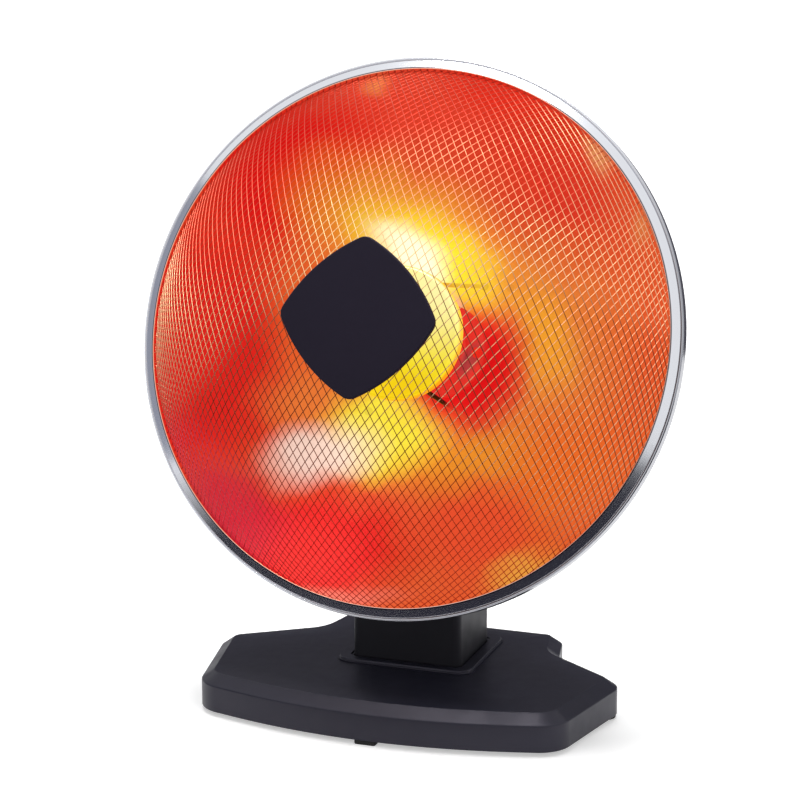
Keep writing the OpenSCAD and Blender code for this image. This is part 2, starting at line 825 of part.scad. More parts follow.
// A square stood on its corner, its sides bowed and its corners rounded, drawn in by d.
badge_corner_c = badge_half - badge_corner_r;
badge_side_c = (sqrt(2 * pow(badge_side_r - badge_corner_r, 2) - pow(badge_corner_c, 2)) - badge_corner_c) / 2;
badge_split = atan2(badge_side_c, badge_corner_c + badge_side_c);
function arc_points(centre, r, a0, a1, steps) =
  [for (k = [0:steps - 1])
    let (a = a0 + (a1 - a0) * k / steps)
    centre + r * [cos(a), sin(a)]];
function turned(p, a) = [p[0] * cos(a) - p[1] * sin(a), p[0] * sin(a) + p[1] * cos(a)];
badge_side_at = [-badge_side_c, -badge_side_c];
function badge_quarter(d) = concat(
  arc_points([badge_corner_c, 0], badge_corner_r - d, -badge_split, badge_split, 8),
  arc_points(badge_side_at, badge_side_r - d, badge_split, 90 - badge_split, 6)
);

module badge_shape(d) {
  polygon([for (a = [0:90:270], p = badge_quarter(d)) turned(p, a)]);
}

module badge_plate() {
  color([0.12, 0.11, 0.13]) at_head() difference() {
    union() {
      translate([0, 0, badge_back]) linear_extrude(badge_t - 0.8) badge_shape(0);
      translate([0, 0, badge_back]) linear_extrude(badge_t) badge_shape(0.8);
      translate([0, 0, clamp_top]) cylinder(r = badge_boss_r, h = badge_back - clamp_top + eps);
    }
    translate([0, 0, clamp_top - eps]) cylinder(r = badge_screw_r + run_gap, h = 4 + eps);
  }
}

module badge_clamp() {
  color([0.3, 0.3, 0.3]) at_head() difference() {
    translate([0, 0, clamp_top - clamp_t]) cylinder(r = clamp_r, h = clamp_t);
    translate([0, 0, clamp_top - clamp_t - eps]) cylinder(r = badge_screw_r + run_gap, h = clamp_t + 2 * eps);
  }
}

module badge_screw() {
  color([0.7, 0.7, 0.72]) at_head()
    translate([0, 0, clamp_top - clamp_t]) screw(badge_screw_r, 3.4, 2, clamp_t + 3.5);
}

// ---- Element ----

module deflector_cap() {
  color([0.9, 0.82, 0.3]) at_head() rotate_extrude($fn = 96) polygon([
    [rod_r + screw_gap, cap_top], [cap_r - 3, cap_top], [cap_r - 0.9, cap_top - 0.9], [cap_r, cap_top - 3],
    [cap_r, cap_top - cap_skirt], [cap_r - cap_t, cap_top - cap_skirt], [cap_r - cap_t, cap_top - 3],
    [cap_r - 3, cap_under], [rod_r + screw_gap, cap_under]
  ]);
}

// Three legs splayed from the cap's underside to the reflector, with a pad at each end.
module cap_posts() {
  slope = curve_slope(post_foot_r);
  lift = seat_gap + post_pad_h / 2;
  foot = [post_foot_r - lift * sin(slope), -curve_depth(post_foot_r) + lift * cos(slope)];
  top = [post_top_r, cap_under - seat_gap - post_pad_h / 2];
  splay = atan2(foot[0] - top[0], top[1] - foot[1]);
  color([0.3, 0.28, 0.26]) at_head()
    for (turn = [60:120:300]) {
      on_curve(post_foot_r, turn) translate([0, 0, seat_gap]) cylinder(r = post_pad_r, h = post_pad_h);
      rotate([0, 0, turn]) {
        translate([foot[0], 0, foot[1]]) rotate([0, -splay, 0]) cylinder(r = post_r, h = norm(top - foot));
        translate([top[0], 0, cap_under - seat_gap - post_pad_h]) cylinder(r = post_pad_r, h = post_pad_h);
      }
    }
}

module tie_rod() {
  color([0.6, 0.6, 0.6]) at_head()
    translate([0, 0, pad_front - pad_t - 2 * tie_nut_h])
      cylinder(r = rod_r, h = cap_top - pad_front + pad_t + 3 * tie_nut_h);
}

module tie_nuts() {
  color([0.55, 0.5, 0.4]) at_head() {
    for (z = [cap_top, pad_front - pad_t - tie_nut_h])
      translate([0, 0, z]) difference() {
        hexagon(tie_nut_r, tie_nut_h);
        cylinder(r = rod_r + run_gap, h = 3 * tie_nut_h, center = true);
      }
  }
}

module ceramic_former() {
  color([0.9, 0.87, 0.8]) at_head() rotate_extrude() polygon([
    [rod_r + screw_gap, hub_step_z], [former_r, hub_step_z], [former_r, collar_z],
    [former_flange_r, collar_z], [former_flange_r, collar_z + former_flange_t],
    [former_neck_r, collar_z + former_flange_t], [former_neck_r, cap_under], [rod_r + screw_gap, cap_under]
  ]);
}

// Heating coil on the former, drawn on the unrolled cylinder: a straight stub, a bend, the
// loops, a bend back and a straight stub. Each place is [distance round, height].
coil_low = hub_step_z + coil_stub + coil_bend;
coil_high = collar_z - coil_stub - coil_bend;
coil_rise = atan((coil_high - coil_low) / (coil_loops * 360 * PI / 180 * coil_r));
coil_turn = 90 - coil_rise;
coil_rings = 24;
bend_steps = 4;
coil_span = coil_loops * 2 * PI * coil_r;
bend_over = coil_bend * (1 - cos(coil_turn));
bend_up = coil_bend * sin(coil_turn);
loop_low = hub_step_z + coil_stub + bend_up;
loop_high = collar_z - coil_stub - bend_up;
function bend_point(k) =
  let (a = coil_turn * k / bend_steps)
  [coil_bend * (1 - cos(a)), coil_bend * sin(a)];
coil_flat = concat(
  [[0, hub_step_z], [0, hub_step_z + coil_stub / 2]],
  [for (k = [0:bend_steps - 1]) [0, hub_step_z + coil_stub] + bend_point(k)],
  [for (k = [0:coil_loops * coil_rings])
    let (s = k / (coil_loops * coil_rings))
    [bend_over + coil_span * s, loop_low + (loop_high - loop_low) * s]],
  [for (k = [bend_steps - 1:-1:0])
    [2 * bend_over + coil_span, collar_z - coil_stub] - bend_point(k)],
  [[2 * bend_over + coil_span, collar_z - coil_stub / 2], [2 * bend_over + coil_span, collar_z]]
);
function coil_turned(u) = u / coil_r * 180 / PI;
function coil_point(f) = [coil_r * cos(coil_turned(f[0])), coil_r * sin(coil_turned(f[0])), f[1]];
coil_path = [for (f = coil_flat) coil_point(f)];
coil_gap = min([for (i = [0:3:len(coil_path) - 1], j = [i + coil_rings / 2:len(coil_path) - 1])
  norm(coil_path[i] - coil_path[j])]) - 2 * coil_tube_r;
echo(coil_least_gap = coil_gap);

module heating_coil() {
  last = len(coil_flat) - 1;
  rings = [for (i = [0:last])
    let (
      along = unit(coil_flat[min(i + 1, last)] - coil_flat[max(i - 1, 0)]),
      turned = coil_turned(coil_flat[i][0]),
      out = [cos(turned), sin(turned), 0],
      heading = along[0] * [-sin(turned), cos(turned), 0] + along[1] * [0, 0, 1],
      side = cross(heading, out)
    )
    [for (k = [0:5]) coil_path[i] + coil_tube_r * (cos(60 * k) * out + sin(60 * k) * side)]];
  color([1, 0.45, 0.15]) at_head() loft(rings);
}

module ceramic_hub() {
  color([0.88, 0.85, 0.78]) at_head() difference() {
    rotate_extrude() polygon([
      [rod_r + screw_gap, -seat_depth], [hub_r, -seat_depth], [hub_r, hub_front - 1], [hub_r - 1, hub_front],
      [hub_step_r, hub_front], [hub_step_r, hub_step_z], [rod_r + screw_gap, hub_step_z]
    ]);
    for (p = hub_screw_at)
      translate([p[0], p[1], -seat_depth - eps])
        cylinder(r = hub_screw_r + screw_gap, h = hub_bite + 1 + eps);
    for (x = [-1, 1])
      translate([x * terminal_x, 0, -seat_depth - eps]) cylinder(r = terminal_r + screw_gap, h = hub_t + 2 * eps);
  }
}

module element_terminals() {
  color([0.8, 0.65, 0.3]) at_head()
    for (x = [-1, 1])
      translate([x * terminal_x, 0, 0]) {
        translate([0, 0, -seat_back - terminal_tail])
          cylinder(r = terminal_r, h = terminal_tail + seat_back + hub_front + terminal_nut_h + 1);
        translate([0, 0, hub_front]) hexagon(terminal_nut_r, terminal_nut_h);
        translate([0, 0, -seat_back - terminal_tail / 2]) hexagon(terminal_nut_r, terminal_nut_h);
      }
}

// ---- Rear housing and controls ----

module housing_bosses(r, depth) {
  for (turn = [45:90:315])
    rotate([0, 0, turn]) translate([boss_at_r, 0, cover_front]) cylinder(r = r, h = depth);
}

module rear_housing() {
  back = -housing_back;
  in_r = housing_back_r - housing_wall;
  color([0.1, 0.1, 0.11]) at_head() difference() {
    union() {
      rotate_extrude($fn = 96) polygon([
        behind_curve(flange_in_r, sheet_t + seat_gap), behind_curve(housing_r - 8, sheet_t + seat_gap),
        behind_curve(housing_r - 0.6, sheet_t + seat_gap), [housing_r + 0.3, -curve_depth(housing_r) - 3],
        [housing_back_r, back + 5], [housing_back_r - 1.3, back + 1.6], [housing_back_r - 4, back],
        [cover_r + 0.3, back], [cover_r + 0.3, cover_front], [ledge_r, cover_front],
        [ledge_r, cover_front + ledge_t], [in_r, cover_front + ledge_t],
        [housing_r - housing_wall + 0.2, -curve_depth(housing_r) - 6],
        behind_curve(housing_r - 5, sheet_t + seat_gap + flange_t),
        behind_curve(flange_in_r, sheet_t + seat_gap + flange_t)
      ]);
      housing_bosses(4, 14);
    }
    housing_bosses(cover_screw_r + run_gap, 12);
    translate([-pad_w / 2 - 1.5, -housing_r - 5, -pivot_back - barrel_r - 2])
      cube([pad_w + 3, 40, barrel_r + 25]);
    for (turn = [45:90:315])
      on_curve(rivet_at_r, turn) cylinder(r = rivet_r + screw_gap, h = 12, center = true);
  }
}

module housing_rivets() {
  stack = sheet_t + seat_gap + flange_t;
  color([0.7, 0.7, 0.7]) at_head()
    for (turn = [45:90:315])
      on_curve(rivet_at_r, turn) {
        translate([0, 0, -stack - 1]) cylinder(r = rivet_r, h = stack + 2);
        translate([0, 0, 0.05]) cylinder(r = 3, h = 1);
        translate([0, 0, -stack - 1.2]) cylinder(r = 2.6, h = 1);
      }
}

module vent_slots() {
  intersection() {
    circle(ledge_r - 6);
    for (side = [-1, 1], row = [-4:4])
      translate([side * 42, row * 7.5]) rounded_square(28, 3.2, 1.5);
  }
}

module back_cover() {
  color([0.12, 0.12, 0.13]) at_head() translate([0, 0, -housing_back]) linear_extrude(cover_t - 0.05) difference() {
    circle(cover_r);
    vent_slots();
    translate([0, knob_up]) circle(bush_r + screw_gap);
    translate([0, -rocker_down]) square([sleeve_w + 0.4, sleeve_d + 0.4], center = true);
    translate([0, -lamp_down]) circle(lamp_r + screw_gap);
    for (turn = [45:90:315]) rotate(turn) translate([boss_at_r, 0]) circle(cover_screw_r + 0.2);
  }
}

module cover_screws() {
  color([0.6, 0.6, 0.62]) at_head()
    for (turn = [45:90:315])
      rotate([0, 0, turn]) translate([boss_at_r, 0, -housing_back]) screw(cover_screw_r, 3, 1.6, 11);
}

module thermostat() {
  back = cover_front + seat_gap;
  color([0.55, 0.5, 0.42]) at_head() translate([0, knob_up, 0]) difference() {
    union() {
      translate([0, 0, back]) cylinder(r = thermostat_r, h = thermostat_h);
      translate([0, 0, -housing_back - bush_out]) cylinder(r = bush_r, h = 12);
      for (x = [-5, 5])
        translate([x, 0, back + thermostat_h]) blade(6);
    }
    translate([0, 0, -housing_back - bush_out - eps])
      cylinder(r = shaft_r + run_gap, h = bush_out + cover_t + thermostat_h - 3);
  }
}

knob_face = -housing_back - bush_out - knob_gap;
module thermostat_shaft() {
  color([0.75, 0.75, 0.75]) at_head() translate([0, knob_up, knob_face - knob_h + 4])
    cylinder(r = shaft_r, h = knob_h - 4 + knob_gap + bush_out + thermostat_h - 3);
}

module heat_knob() {
  color([0.13, 0.13, 0.14]) at_head() translate([0, knob_up, 0]) difference() {
    union() {
      rotate_extrude($fn = 96) polygon([
        [0, knob_face], [knob_r, knob_face], [knob_r, knob_face - 3], [knob_r - 3, knob_face - 5],
        [knob_r - 4, knob_face - knob_h + 1.5], [knob_r - 5.5, knob_face - knob_h], [0, knob_face - knob_h]
      ]);
      translate([-1.5, 6, knob_face - knob_h - 1]) cube([3, knob_r - 11.5, 6]);
    }
    translate([0, 0, knob_face - knob_h + 4 - run_gap]) cylinder(r = shaft_r + run_gap, h = knob_h);
  }
}

module switch_body() {
  inner_w = 2 * rocker_half + 0.8;
  inner_d = rocker_w + 0.8;
  color([0.08, 0.08, 0.08]) at_head() translate([0, -rocker_down, 0]) difference() {
    union() {
      translate([0, 0, -housing_back - 2]) linear_extrude(2) rounded_square(sleeve_w + 5, sleeve_d + 5, 2);
      translate([0, 0, -housing_back - eps])
        linear_extrude(switch_depth + eps) square([sleeve_w, sleeve_d], center = true);
      for (x = [-sleeve_w / 4, 0, sleeve_w / 4])
        translate([x, 0, -housing_back + switch_depth]) blade(4.8);
    }
    translate([-inner_w / 2, -inner_d / 2, -housing_back - 3]) cube([inner_w, inner_d, 10.5]);
    translate([0, 0, rocker_pivot]) rotate([90, 0, 0]) cylinder(r = 1 + run_gap, h = inner_d + 1.6, center = true);
  }
}

module power_rocker() {
  color([0.7, 0.1, 0.08]) at_head() translate([0, -rocker_down, rocker_pivot]) rotate([0, rocker_swing, 0]) {
    intersection() {
      rotate([90, 0, 0]) cylinder(r = rocker_half, h = rocker_w, center = true);
      rotate([90, 0, 0]) linear_extrude(rocker_w, center = true) polygon([
        [-rocker_half, 2], [-rocker_half, -6.2], [0, -4.4], [rocker_half, -6.2], [rocker_half, 2]
      ]);
    }
    rotate([90, 0, 0]) cylinder(r = 1, h = rocker_w + 2, center = true);
  }
}

module pilot_lamp() {
  color([0.95, 0.35, 0.1]) at_head() translate([0, -lamp_down, 0]) {
    translate([0, 0, -housing_back - 1]) cylinder(r = lamp_r + 1.2, h = 1);
    translate([0, 0, -housing_back - 0.5]) cylinder(r = lamp_r, h = 14);
    translate([0, 0, -housing_back - 2]) cylinder(r1 = lamp_r - 1.5, r2 = lamp_r, h = 1);
  }
}

module thermal_cutout() {
  color([0.82, 0.8, 0.74]) at_head() on_curve(cutout_at_r, 0) {
    translate([0, 0, -sheet_t - seat_gap - cutout_h]) cylinder(r = cutout_r, h = cutout_h);
    for (y = [-cutout_r / 2, cutout_r / 2])
      translate([0, y, -sheet_t - seat_gap - cutout_h]) rotate([180, 0, 0]) blade(6);
  }
}

base_shell();
base_plate();
ballast();
base_screws();
foot_front();
round_foot(1);  // foot_left
round_foot(2);  // foot_right
round_foot(3);  // foot_rear_left
round_foot(4);  // foot_rear_right
tip_plunger();
plunger_spring();
tip_switch();
cord_inlet();
terminal_block();
neck();
neck_collar();
hinge_bolt();
hinge_nut();
friction_washers();
tilt_bracket();
hub_screws();
reflector();
bezel_ring();
bezel_clips();
grille();
badge_plate();
badge_clamp();
badge_screw();
deflector_cap();
cap_posts();
tie_rod();
tie_nuts();
ceramic_former();
heating_coil();
ceramic_hub();
element_terminals();
rear_housing();
housing_rivets();
back_cover();
cover_screws();
thermostat();
thermostat_shaft();
heat_knob();
switch_body();
power_rocker();
pilot_lamp();
thermal_cutout();
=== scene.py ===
"""Parabolic heater, dressed for a picture: a glowing dish behind a domed wire grille, a square neck
and a low weighted base. Pieces are worked out in millimetres in the dish's frame (X right, Y up the
dish, Z out of its mouth, Z = 0 on the reflector's lip) or the neck's, and then set in the row's frame."""

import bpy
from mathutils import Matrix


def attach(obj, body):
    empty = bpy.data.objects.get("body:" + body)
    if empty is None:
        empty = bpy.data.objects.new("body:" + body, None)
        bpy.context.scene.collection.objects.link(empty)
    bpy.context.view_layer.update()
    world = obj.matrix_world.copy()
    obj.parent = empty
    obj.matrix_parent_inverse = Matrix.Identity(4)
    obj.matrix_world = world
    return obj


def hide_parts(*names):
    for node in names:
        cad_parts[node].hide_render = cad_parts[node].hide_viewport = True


bl_info = {
    "name": "Parabolic heater",
    "version": (1, 0, 0),
    "blender": (4, 5, 0),
    "location": "3D View > Sidebar > Heater",
    "description": "Builds the surfaces, finishes and studio of a parabolic heater on its packed frame",
    "category": "Add Mesh",
}

import math
from functools import cache

import bmesh
import bpy
import numpy as np
from bpy.props import FloatProperty, FloatVectorProperty, IntProperty, PointerProperty
from mathutils import Vector

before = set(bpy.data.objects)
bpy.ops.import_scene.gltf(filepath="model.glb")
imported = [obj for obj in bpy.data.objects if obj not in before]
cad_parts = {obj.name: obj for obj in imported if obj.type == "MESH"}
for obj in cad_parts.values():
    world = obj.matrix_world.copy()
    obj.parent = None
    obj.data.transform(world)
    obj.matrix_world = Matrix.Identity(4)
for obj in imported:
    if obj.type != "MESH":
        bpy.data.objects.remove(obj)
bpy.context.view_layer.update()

# ---- Places that the pieces share, in millimetres ----

MM = 0.001
SEAT_GAP, PAD_T = 0.3, 4.0
NECK_Y = 14.6
PIVOT_Y, PIVOT_Z = 30.6, 143.0
PIVOT_DROP, PIVOT_BACK = 94.0, 83.0
TILT = math.radians(19)
DISH_Y = PIVOT_Y - PIVOT_BACK * math.cos(TILT) + PIVOT_DROP * math.sin(TILT)
DISH_Z = PIVOT_Z + PIVOT_DROP * math.cos(TILT) + PIVOT_BACK * math.sin(TILT)

DISH_R, DISH_DEPTH, LIP_R, SEAT_R, SHEET = 182.0, 84.0, 187.0, 36.0, 1.2
SEAT_DEPTH = DISH_DEPTH * (1 - (SEAT_R / DISH_R) ** 2)
BEZEL_R, BEZEL_INNER, BEZEL_SKIRT = 189.0, 180.5, 8.0
GRILLE_RISE, GRILLE_EDGE_Z, HOOP_R, HOOP_THICK, WELD_RISE = 96.0, 1.1, 183.0, 0.95, 0.15
DOME_H = GRILLE_RISE - GRILLE_EDGE_Z
DOME_R = (BEZEL_INNER**2 + DOME_H**2) / (2 * DOME_H)
DOME_MIDDLE = GRILLE_RISE - DOME_R
BADGE_BACK, BADGE_FACE, BOSS_R = GRILLE_RISE + 1.1, GRILLE_RISE + 5.1, 5.0
CAP_R, CAP_TOP, CAP_SKIRT, CAP_T, ROD_HOLE = 44.8, 26.0, 10.0, 1.2, 2.6
HUB_R, HUB_NOSE_R, HUB_FRONT = 33.0, 21.0, -SEAT_DEPTH + 8.0
HUB_STEP = HUB_FRONT + 5.0
COLLAR_Z = CAP_TOP - 12.0
HOUSING_BACK, COVER_SCREW_R = 122.0, 59.0
KNOB_UP, KNOB_R, KNOB_H, KNOB_FACE = 24.0, 21.0, 16.0, -124.6
TICK_IN, TICK_OUT, DIAL_SWEEP = 22.6, 25.0, 270
ROCKER_DOWN, ROCKER_PIVOT, ROCKER_SWING, ROCKER_SLOPE = 30.0, 2.5 - HOUSING_BACK, math.radians(8), 1.8 / 13.2
NECK_W, NECK_D = 77.7, 65.4
FOOT_H, WALL_TOP, BEVEL_H, BEVEL_IN, CROWN, CROWN_IN, SHELL = 3.0, 21.5, 6.5, 9.0, 1.3, 22, 2.6
BEVEL_TOP = WALL_TOP + BEVEL_H
CROWN_TOP = BEVEL_TOP + CROWN
SHELL_SCREWS = [(115, -56), (-115, -56), (68.5, 40), (-68.5, 40)]
PLATE_SCREWS = [(50, -72), (-50, -72)]
HUB_SCREWS = [(0, 27), (12, -24), (-12, -24)]


# ---- What a user can change ----


def length(name, default, description):
    """A length in metres, given here in millimetres."""
    return FloatProperty(
        name=name, description=description, default=default * MM, min=0, precision=5,
        unit="LENGTH", subtype="DISTANCE",
    )


def tint(name, rgb, description):
    """A colour given by its 0 to 255 screen values, held as linear light."""
    return FloatVectorProperty(
        name=name, description=description, default=linear(rgb), size=3, min=0, max=1, subtype="COLOR"
    )


def linear(rgb):
    """Screen values 0 to 255 as linear light: the usual curve of a straight foot and a power of 2.4."""
    v = np.asarray(rgb, float) / 255
    return tuple(np.where(v <= 0.04045, v / 12.92, ((v + 0.055) / 1.055) ** 2.4))


class HeaterSizes(bpy.types.PropertyGroup):
    wire: length("Grille wire", 0.54, "Thickness of a grille wire")
    pitch: length("Grille pitch", 5.2, "Distance between neighbouring grille wires, as woven flat")
    layer: length("Net layer", 0.5, "How far the two layers of wires lie from each other")
    badge_dome: length("Badge dome", 0.9, "Rise of the badge's middle over its edge")
    badge_edge: length("Badge edge", 1.1, "Rounding of the badge's edge")
    coil_wire: length("Element wire", 0.34, "Radius of the resistance wire in the heating coil")
    coil_winding: length("Element winding", 1.22, "Radius of the fine winding of the resistance wire")
    coil_pitch: length("Element pitch", 1.3, "Distance between the fine turns of the resistance wire")
    base_edge: length("Base edge", 1.4, "Rounding of the edges of the base's cover")
    soft_edge: length("Moulded edge", 0.5, "Rounding of the edges of the small moulded pieces")
    flutes: IntProperty(name="Flutes", description="Flutes round the heat knob", default=28, min=8, max=60)
    flute: length("Flute depth", 0.7, "Depth of the heat knob's flutes")
    ticks: IntProperty(name="Dial ticks", description="Ticks round the heat knob", default=10, min=3, max=20)


class HeaterColours(bpy.types.PropertyGroup):
    case: tint("Case", (25, 25, 36), "Charcoal plastic of the base")
    neck: tint("Neck", (27, 27, 31), "Black plastic of the neck and rear housing")
    badge: tint("Badge", (31, 27, 39), "Satin finish of the badge")
    bezel: tint("Bezel", (222, 224, 230), "Polished metal of the bezel")
    wire: tint("Wire", (250, 206, 160), "Bright wire of the grille")
    dish: tint("Dish", (205, 206, 210), "Bare aluminium of the dish")
    # Glow and Cap glow are painted glow: the element's light painted on the dish and on the cap.
    glow: tint("Glow", (230, 92, 46), "Main colour of the glow in the dish")
    cap: tint("Cap glow", (247, 226, 44), "Glow on the deflector cap")
    hot: tint("Coil glow", (255, 150, 40), "Glow of the heating coil")
    ceramic: tint("Ceramic", (226, 218, 200), "Fired ceramic")
    rocker: tint("Rocker", (178, 26, 22), "Power rocker")
    lamp: tint("Lamp", (255, 140, 30), "Pilot lamp")


def sizes():
    """The sizes that a user has set."""
    return bpy.context.scene.heater_sizes


def colours():
    """The colours that a user has set."""
    return bpy.context.scene.heater_colours


def mm(value):
    """A size in metres as millimetres."""
    return value / MM


# ---- Frames ----


def from_dish(p):
    """Dish frame to row frame, in metres: turned about X by 90 degrees less the tilt, and moved to the
    dish's middle."""
    p = np.asarray(p, float)
    s, c = math.sin(TILT), math.cos(TILT)
    y, z = p[..., 1], p[..., 2]
    return np.stack([p[..., 0], DISH_Y + y * s - z * c, DISH_Z + y * c + z * s], -1) * MM


def from_neck(p):
    """Neck frame to row frame, in metres: moved back to the neck's centre line."""
    return (np.asarray(p, float) + [0, NECK_Y, 0]) * MM


# ---- Meshes from whole arrays ----


def grid(rows, cols, close_rows):
    """Quads of a grid of rows by cols points: each joins a point, its neighbour along the row, and both
    points of the next row. The columns close up."""
    i = np.arange(rows if close_rows else rows - 1)[:, None]
    j = np.arange(cols)[None, :]
    k, below = (j + 1) % cols, (i + 1) % rows * cols
    corners = np.broadcast_arrays(i * cols + j, i * cols + k, below + k, below + j)
    return np.stack(corners, -1).reshape(-1, 4)


def outward(points, quads, tris):
    """Turns all faces round if the volume that they enclose, summed over tetrahedra from the points'
    middle, is negative."""
    t = np.concatenate([tris, quads[:, [0, 1, 2]], quads[:, [0, 2, 3]]])
    q = points[t] - points.mean(0)
    if np.einsum("ij,ij->i", q[:, 0], np.cross(q[:, 1], q[:, 2])).sum() < 0:
        return quads[:, ::-1], tris[:, ::-1]
    return quads, tris


def surface(points, closed=True):
    """A part from a grid of points (rows, cols, 3) whose columns close up. The rows close up too, or end
    in flat fans."""
    rows, cols = points.shape[:2]
    flat = points.reshape(-1, 3)
    quads, tris = grid(rows, cols, closed), np.zeros((0, 3), int)
    if not closed:
        ends = np.stack([points[0].mean(0), points[-1].mean(0)])
        j = np.arange(cols)
        k = (j + 1) % cols
        n, last = len(flat), (rows - 1) * cols
        tris = np.concatenate([
            np.stack([np.full(cols, n), k, j], -1),
            np.stack([np.full(cols, n + 1), last + j, last + k], -1),
        ])
        flat = np.concatenate([flat, ends])
    return flat, *outward(flat, quads, tris)


def lathe(profile, turns, closed=True):
    """A profile of (radius, height) carried round Z: x = r cos a, y = r sin a. A profile that isn't
    closed starts and ends near the axis."""
    profile = np.asarray(profile, float)
    a = np.linspace(0, 2 * np.pi, turns, endpoint=False)
    r, z = profile[:, :1], profile[:, 1:]
    return surface(np.stack(np.broadcast_arrays(r * np.cos(a), r * np.sin(a), z + 0 * a), -1), closed)


def tube(path, out, radius, sides):
    """A round tube along a path: each ring is path + radius (cos k out + sin k side), side being the
    heading crossed with out."""
    side = unit(np.cross(np.gradient(path, axis=0), out))
    out = unit(np.cross(side, np.gradient(path, axis=0)))
    k = np.linspace(0, 2 * np.pi, sides, endpoint=False)[None, :, None]
    return surface(path[:, None] + radius * (np.cos(k) * out[:, None] + np.sin(k) * side[:, None]), False)


def unit(v):
    """Vectors scaled to a length of one."""
    return v / np.maximum(np.linalg.norm(v, axis=-1, keepdims=True), 1e-12)


def box_part(lo, hi, edge):
    """A block with its upright edges cut by a small chamfer: eight points round, carried between two
    heights that are drawn in by the same chamfer."""
    (x0, y0, z0), (x1, y1, z1), e = lo, hi, edge
    ring = np.array([
        [x0 + e, y0], [x1 - e, y0], [x1, y0 + e], [x1, y1 - e],
        [x1 - e, y1], [x0 + e, y1], [x0, y1 - e], [x0, y0 + e],
    ])
    middle = ring.mean(0)
    small = middle + (ring - middle) * (1 - 2 * e / np.array([x1 - x0, y1 - y0]))
    rings = [(small, z0), (ring, z0 + e), (ring, z1 - e), (small, z1)]
    return surface(np.stack([level(*r) for r in rings]), False)


def level(xy, z):
    """Points of a flat outline at a height."""
    return np.column_stack([xy, np.full(len(xy), z)])


def place(part, move):
    """A part with its points passed through a function."""
    return move(part[0]), *part[1:]


def moved(parts, shift):
    """Parts moved by a shift."""
    return [place(part, lambda p: p + np.asarray(shift)) for part in parts]


def rounded(rows, steps, closed=True):
    """A polyline of (u, v, rounding) whose corners are arcs: each arc's middle lies on the corner's
    bisector at r / sin(half angle), and it runs from one side's touching point to the other's."""
    rows = np.asarray(rows, float)
    c, r = rows[:, :2], rows[:, 2]
    p, s = np.roll(c, 1, 0), np.roll(c, -1, 0)
    a, b = unit(p - c), unit(s - c)
    half = np.arccos(np.clip((a * b).sum(1), -1, 1)) / 2
    middle = c + unit(a + b) * (r / np.sin(half))[:, None]
    start = c + a * (r / np.tan(half))[:, None] - middle
    cross = (c - p)[:, 0] * (s - c)[:, 1] - (c - p)[:, 1] * (s - c)[:, 0]
    sweep = np.sign(cross) * (np.pi - 2 * half)
    angle = np.arctan2(start[:, 1], start[:, 0])[:, None] + sweep[:, None] * np.linspace(0, 1, steps + 1)
    arcs = middle[:, None] + r[:, None, None] * np.stack([np.cos(angle), np.sin(angle)], -1)
    if closed:
        return arcs.reshape(-1, 2)
    return np.concatenate([c[:1], arcs[1:-1].reshape(-1, 2), c[-1:]])


def rounded_rectangle(w, d, r, steps):
    """Points of a rectangle with rounded corners, anticlockwise."""
    return rounded([[x * w / 2, y * d / 2, r] for x, y in ((1, -1), (1, 1), (-1, 1), (-1, -1))], steps)


def make(name, parts, body, materials, replaces=(), at=from_dish, zones=None, sharp=35, weighted=True):
    """A piece from parts in a frame, smooth but for edges sharper than an angle. Zones give each part, or
    each of its quads, a material number."""
    points, quads, tris, zone_q, zone_t, first = [], [], [], [], [], 0
    for n, (p, q, t) in enumerate(parts):
        points.append(at(p))
        quads.append(q + first)
        tris.append(t + first)
        zone = np.ravel(zones[n] if zones else 0)
        zone_q.append(np.broadcast_to(zone, len(q)))
        zone_t.append(np.broadcast_to(zone[:1], len(t)))
        first += len(p)
    quads, tris = np.concatenate(quads), np.concatenate(tris)
    totals = np.repeat([4, 3], [len(quads), len(tris)])
    corners = np.concatenate([quads.ravel(), tris.ravel()])
    mesh = bpy.data.meshes.new(name)
    mesh.vertices.add(first)
    mesh.loops.add(len(corners))
    mesh.polygons.add(len(totals))
    mesh.vertices.foreach_set("co", np.concatenate(points).astype(np.float32).ravel())
    mesh.loops.foreach_set("vertex_index", corners.astype(np.int32))
    for key, values in (
        ("loop_start", np.concatenate([[0], np.cumsum(totals)[:-1]])),
        ("loop_total", totals),
        ("material_index", np.concatenate(zone_q + zone_t)),
    ):
        mesh.polygons.foreach_set(key, values.astype(np.int32))
    mesh.update(calc_edges=True)
    mesh.validate()
    shade(mesh, sharp)
    piece = finish_piece(name, mesh, body, materials, replaces)
    if weighted:
        piece.modifiers.new("Even shading", "WEIGHTED_NORMAL").keep_sharp = True


def shade(mesh, sharp):
    """Smooth shading but for edges sharper than an angle."""
    mesh.shade_smooth()
    mesh.set_sharp_from_angle(angle=math.radians(sharp))


def put(name, data):
    """A new object in the scene."""
    thing = bpy.data.objects.new(name, data)
    bpy.context.scene.collection.objects.link(thing)
    return thing


def finish_piece(name, mesh, body, materials, replaces):
    """Puts a mesh in the scene as a piece that rides a body and stands for CAD nodes. Its materials are
    cleared only if it has some, because clearing also sets its faces back to the first material."""
    piece = put(name, mesh)
    if mesh.materials:
        mesh.materials.clear()
    for material in materials if isinstance(materials, (list, tuple)) else [materials]:
        mesh.materials.append(material)
    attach(piece, body)
    if replaces:
        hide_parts(*replaces)
    return piece


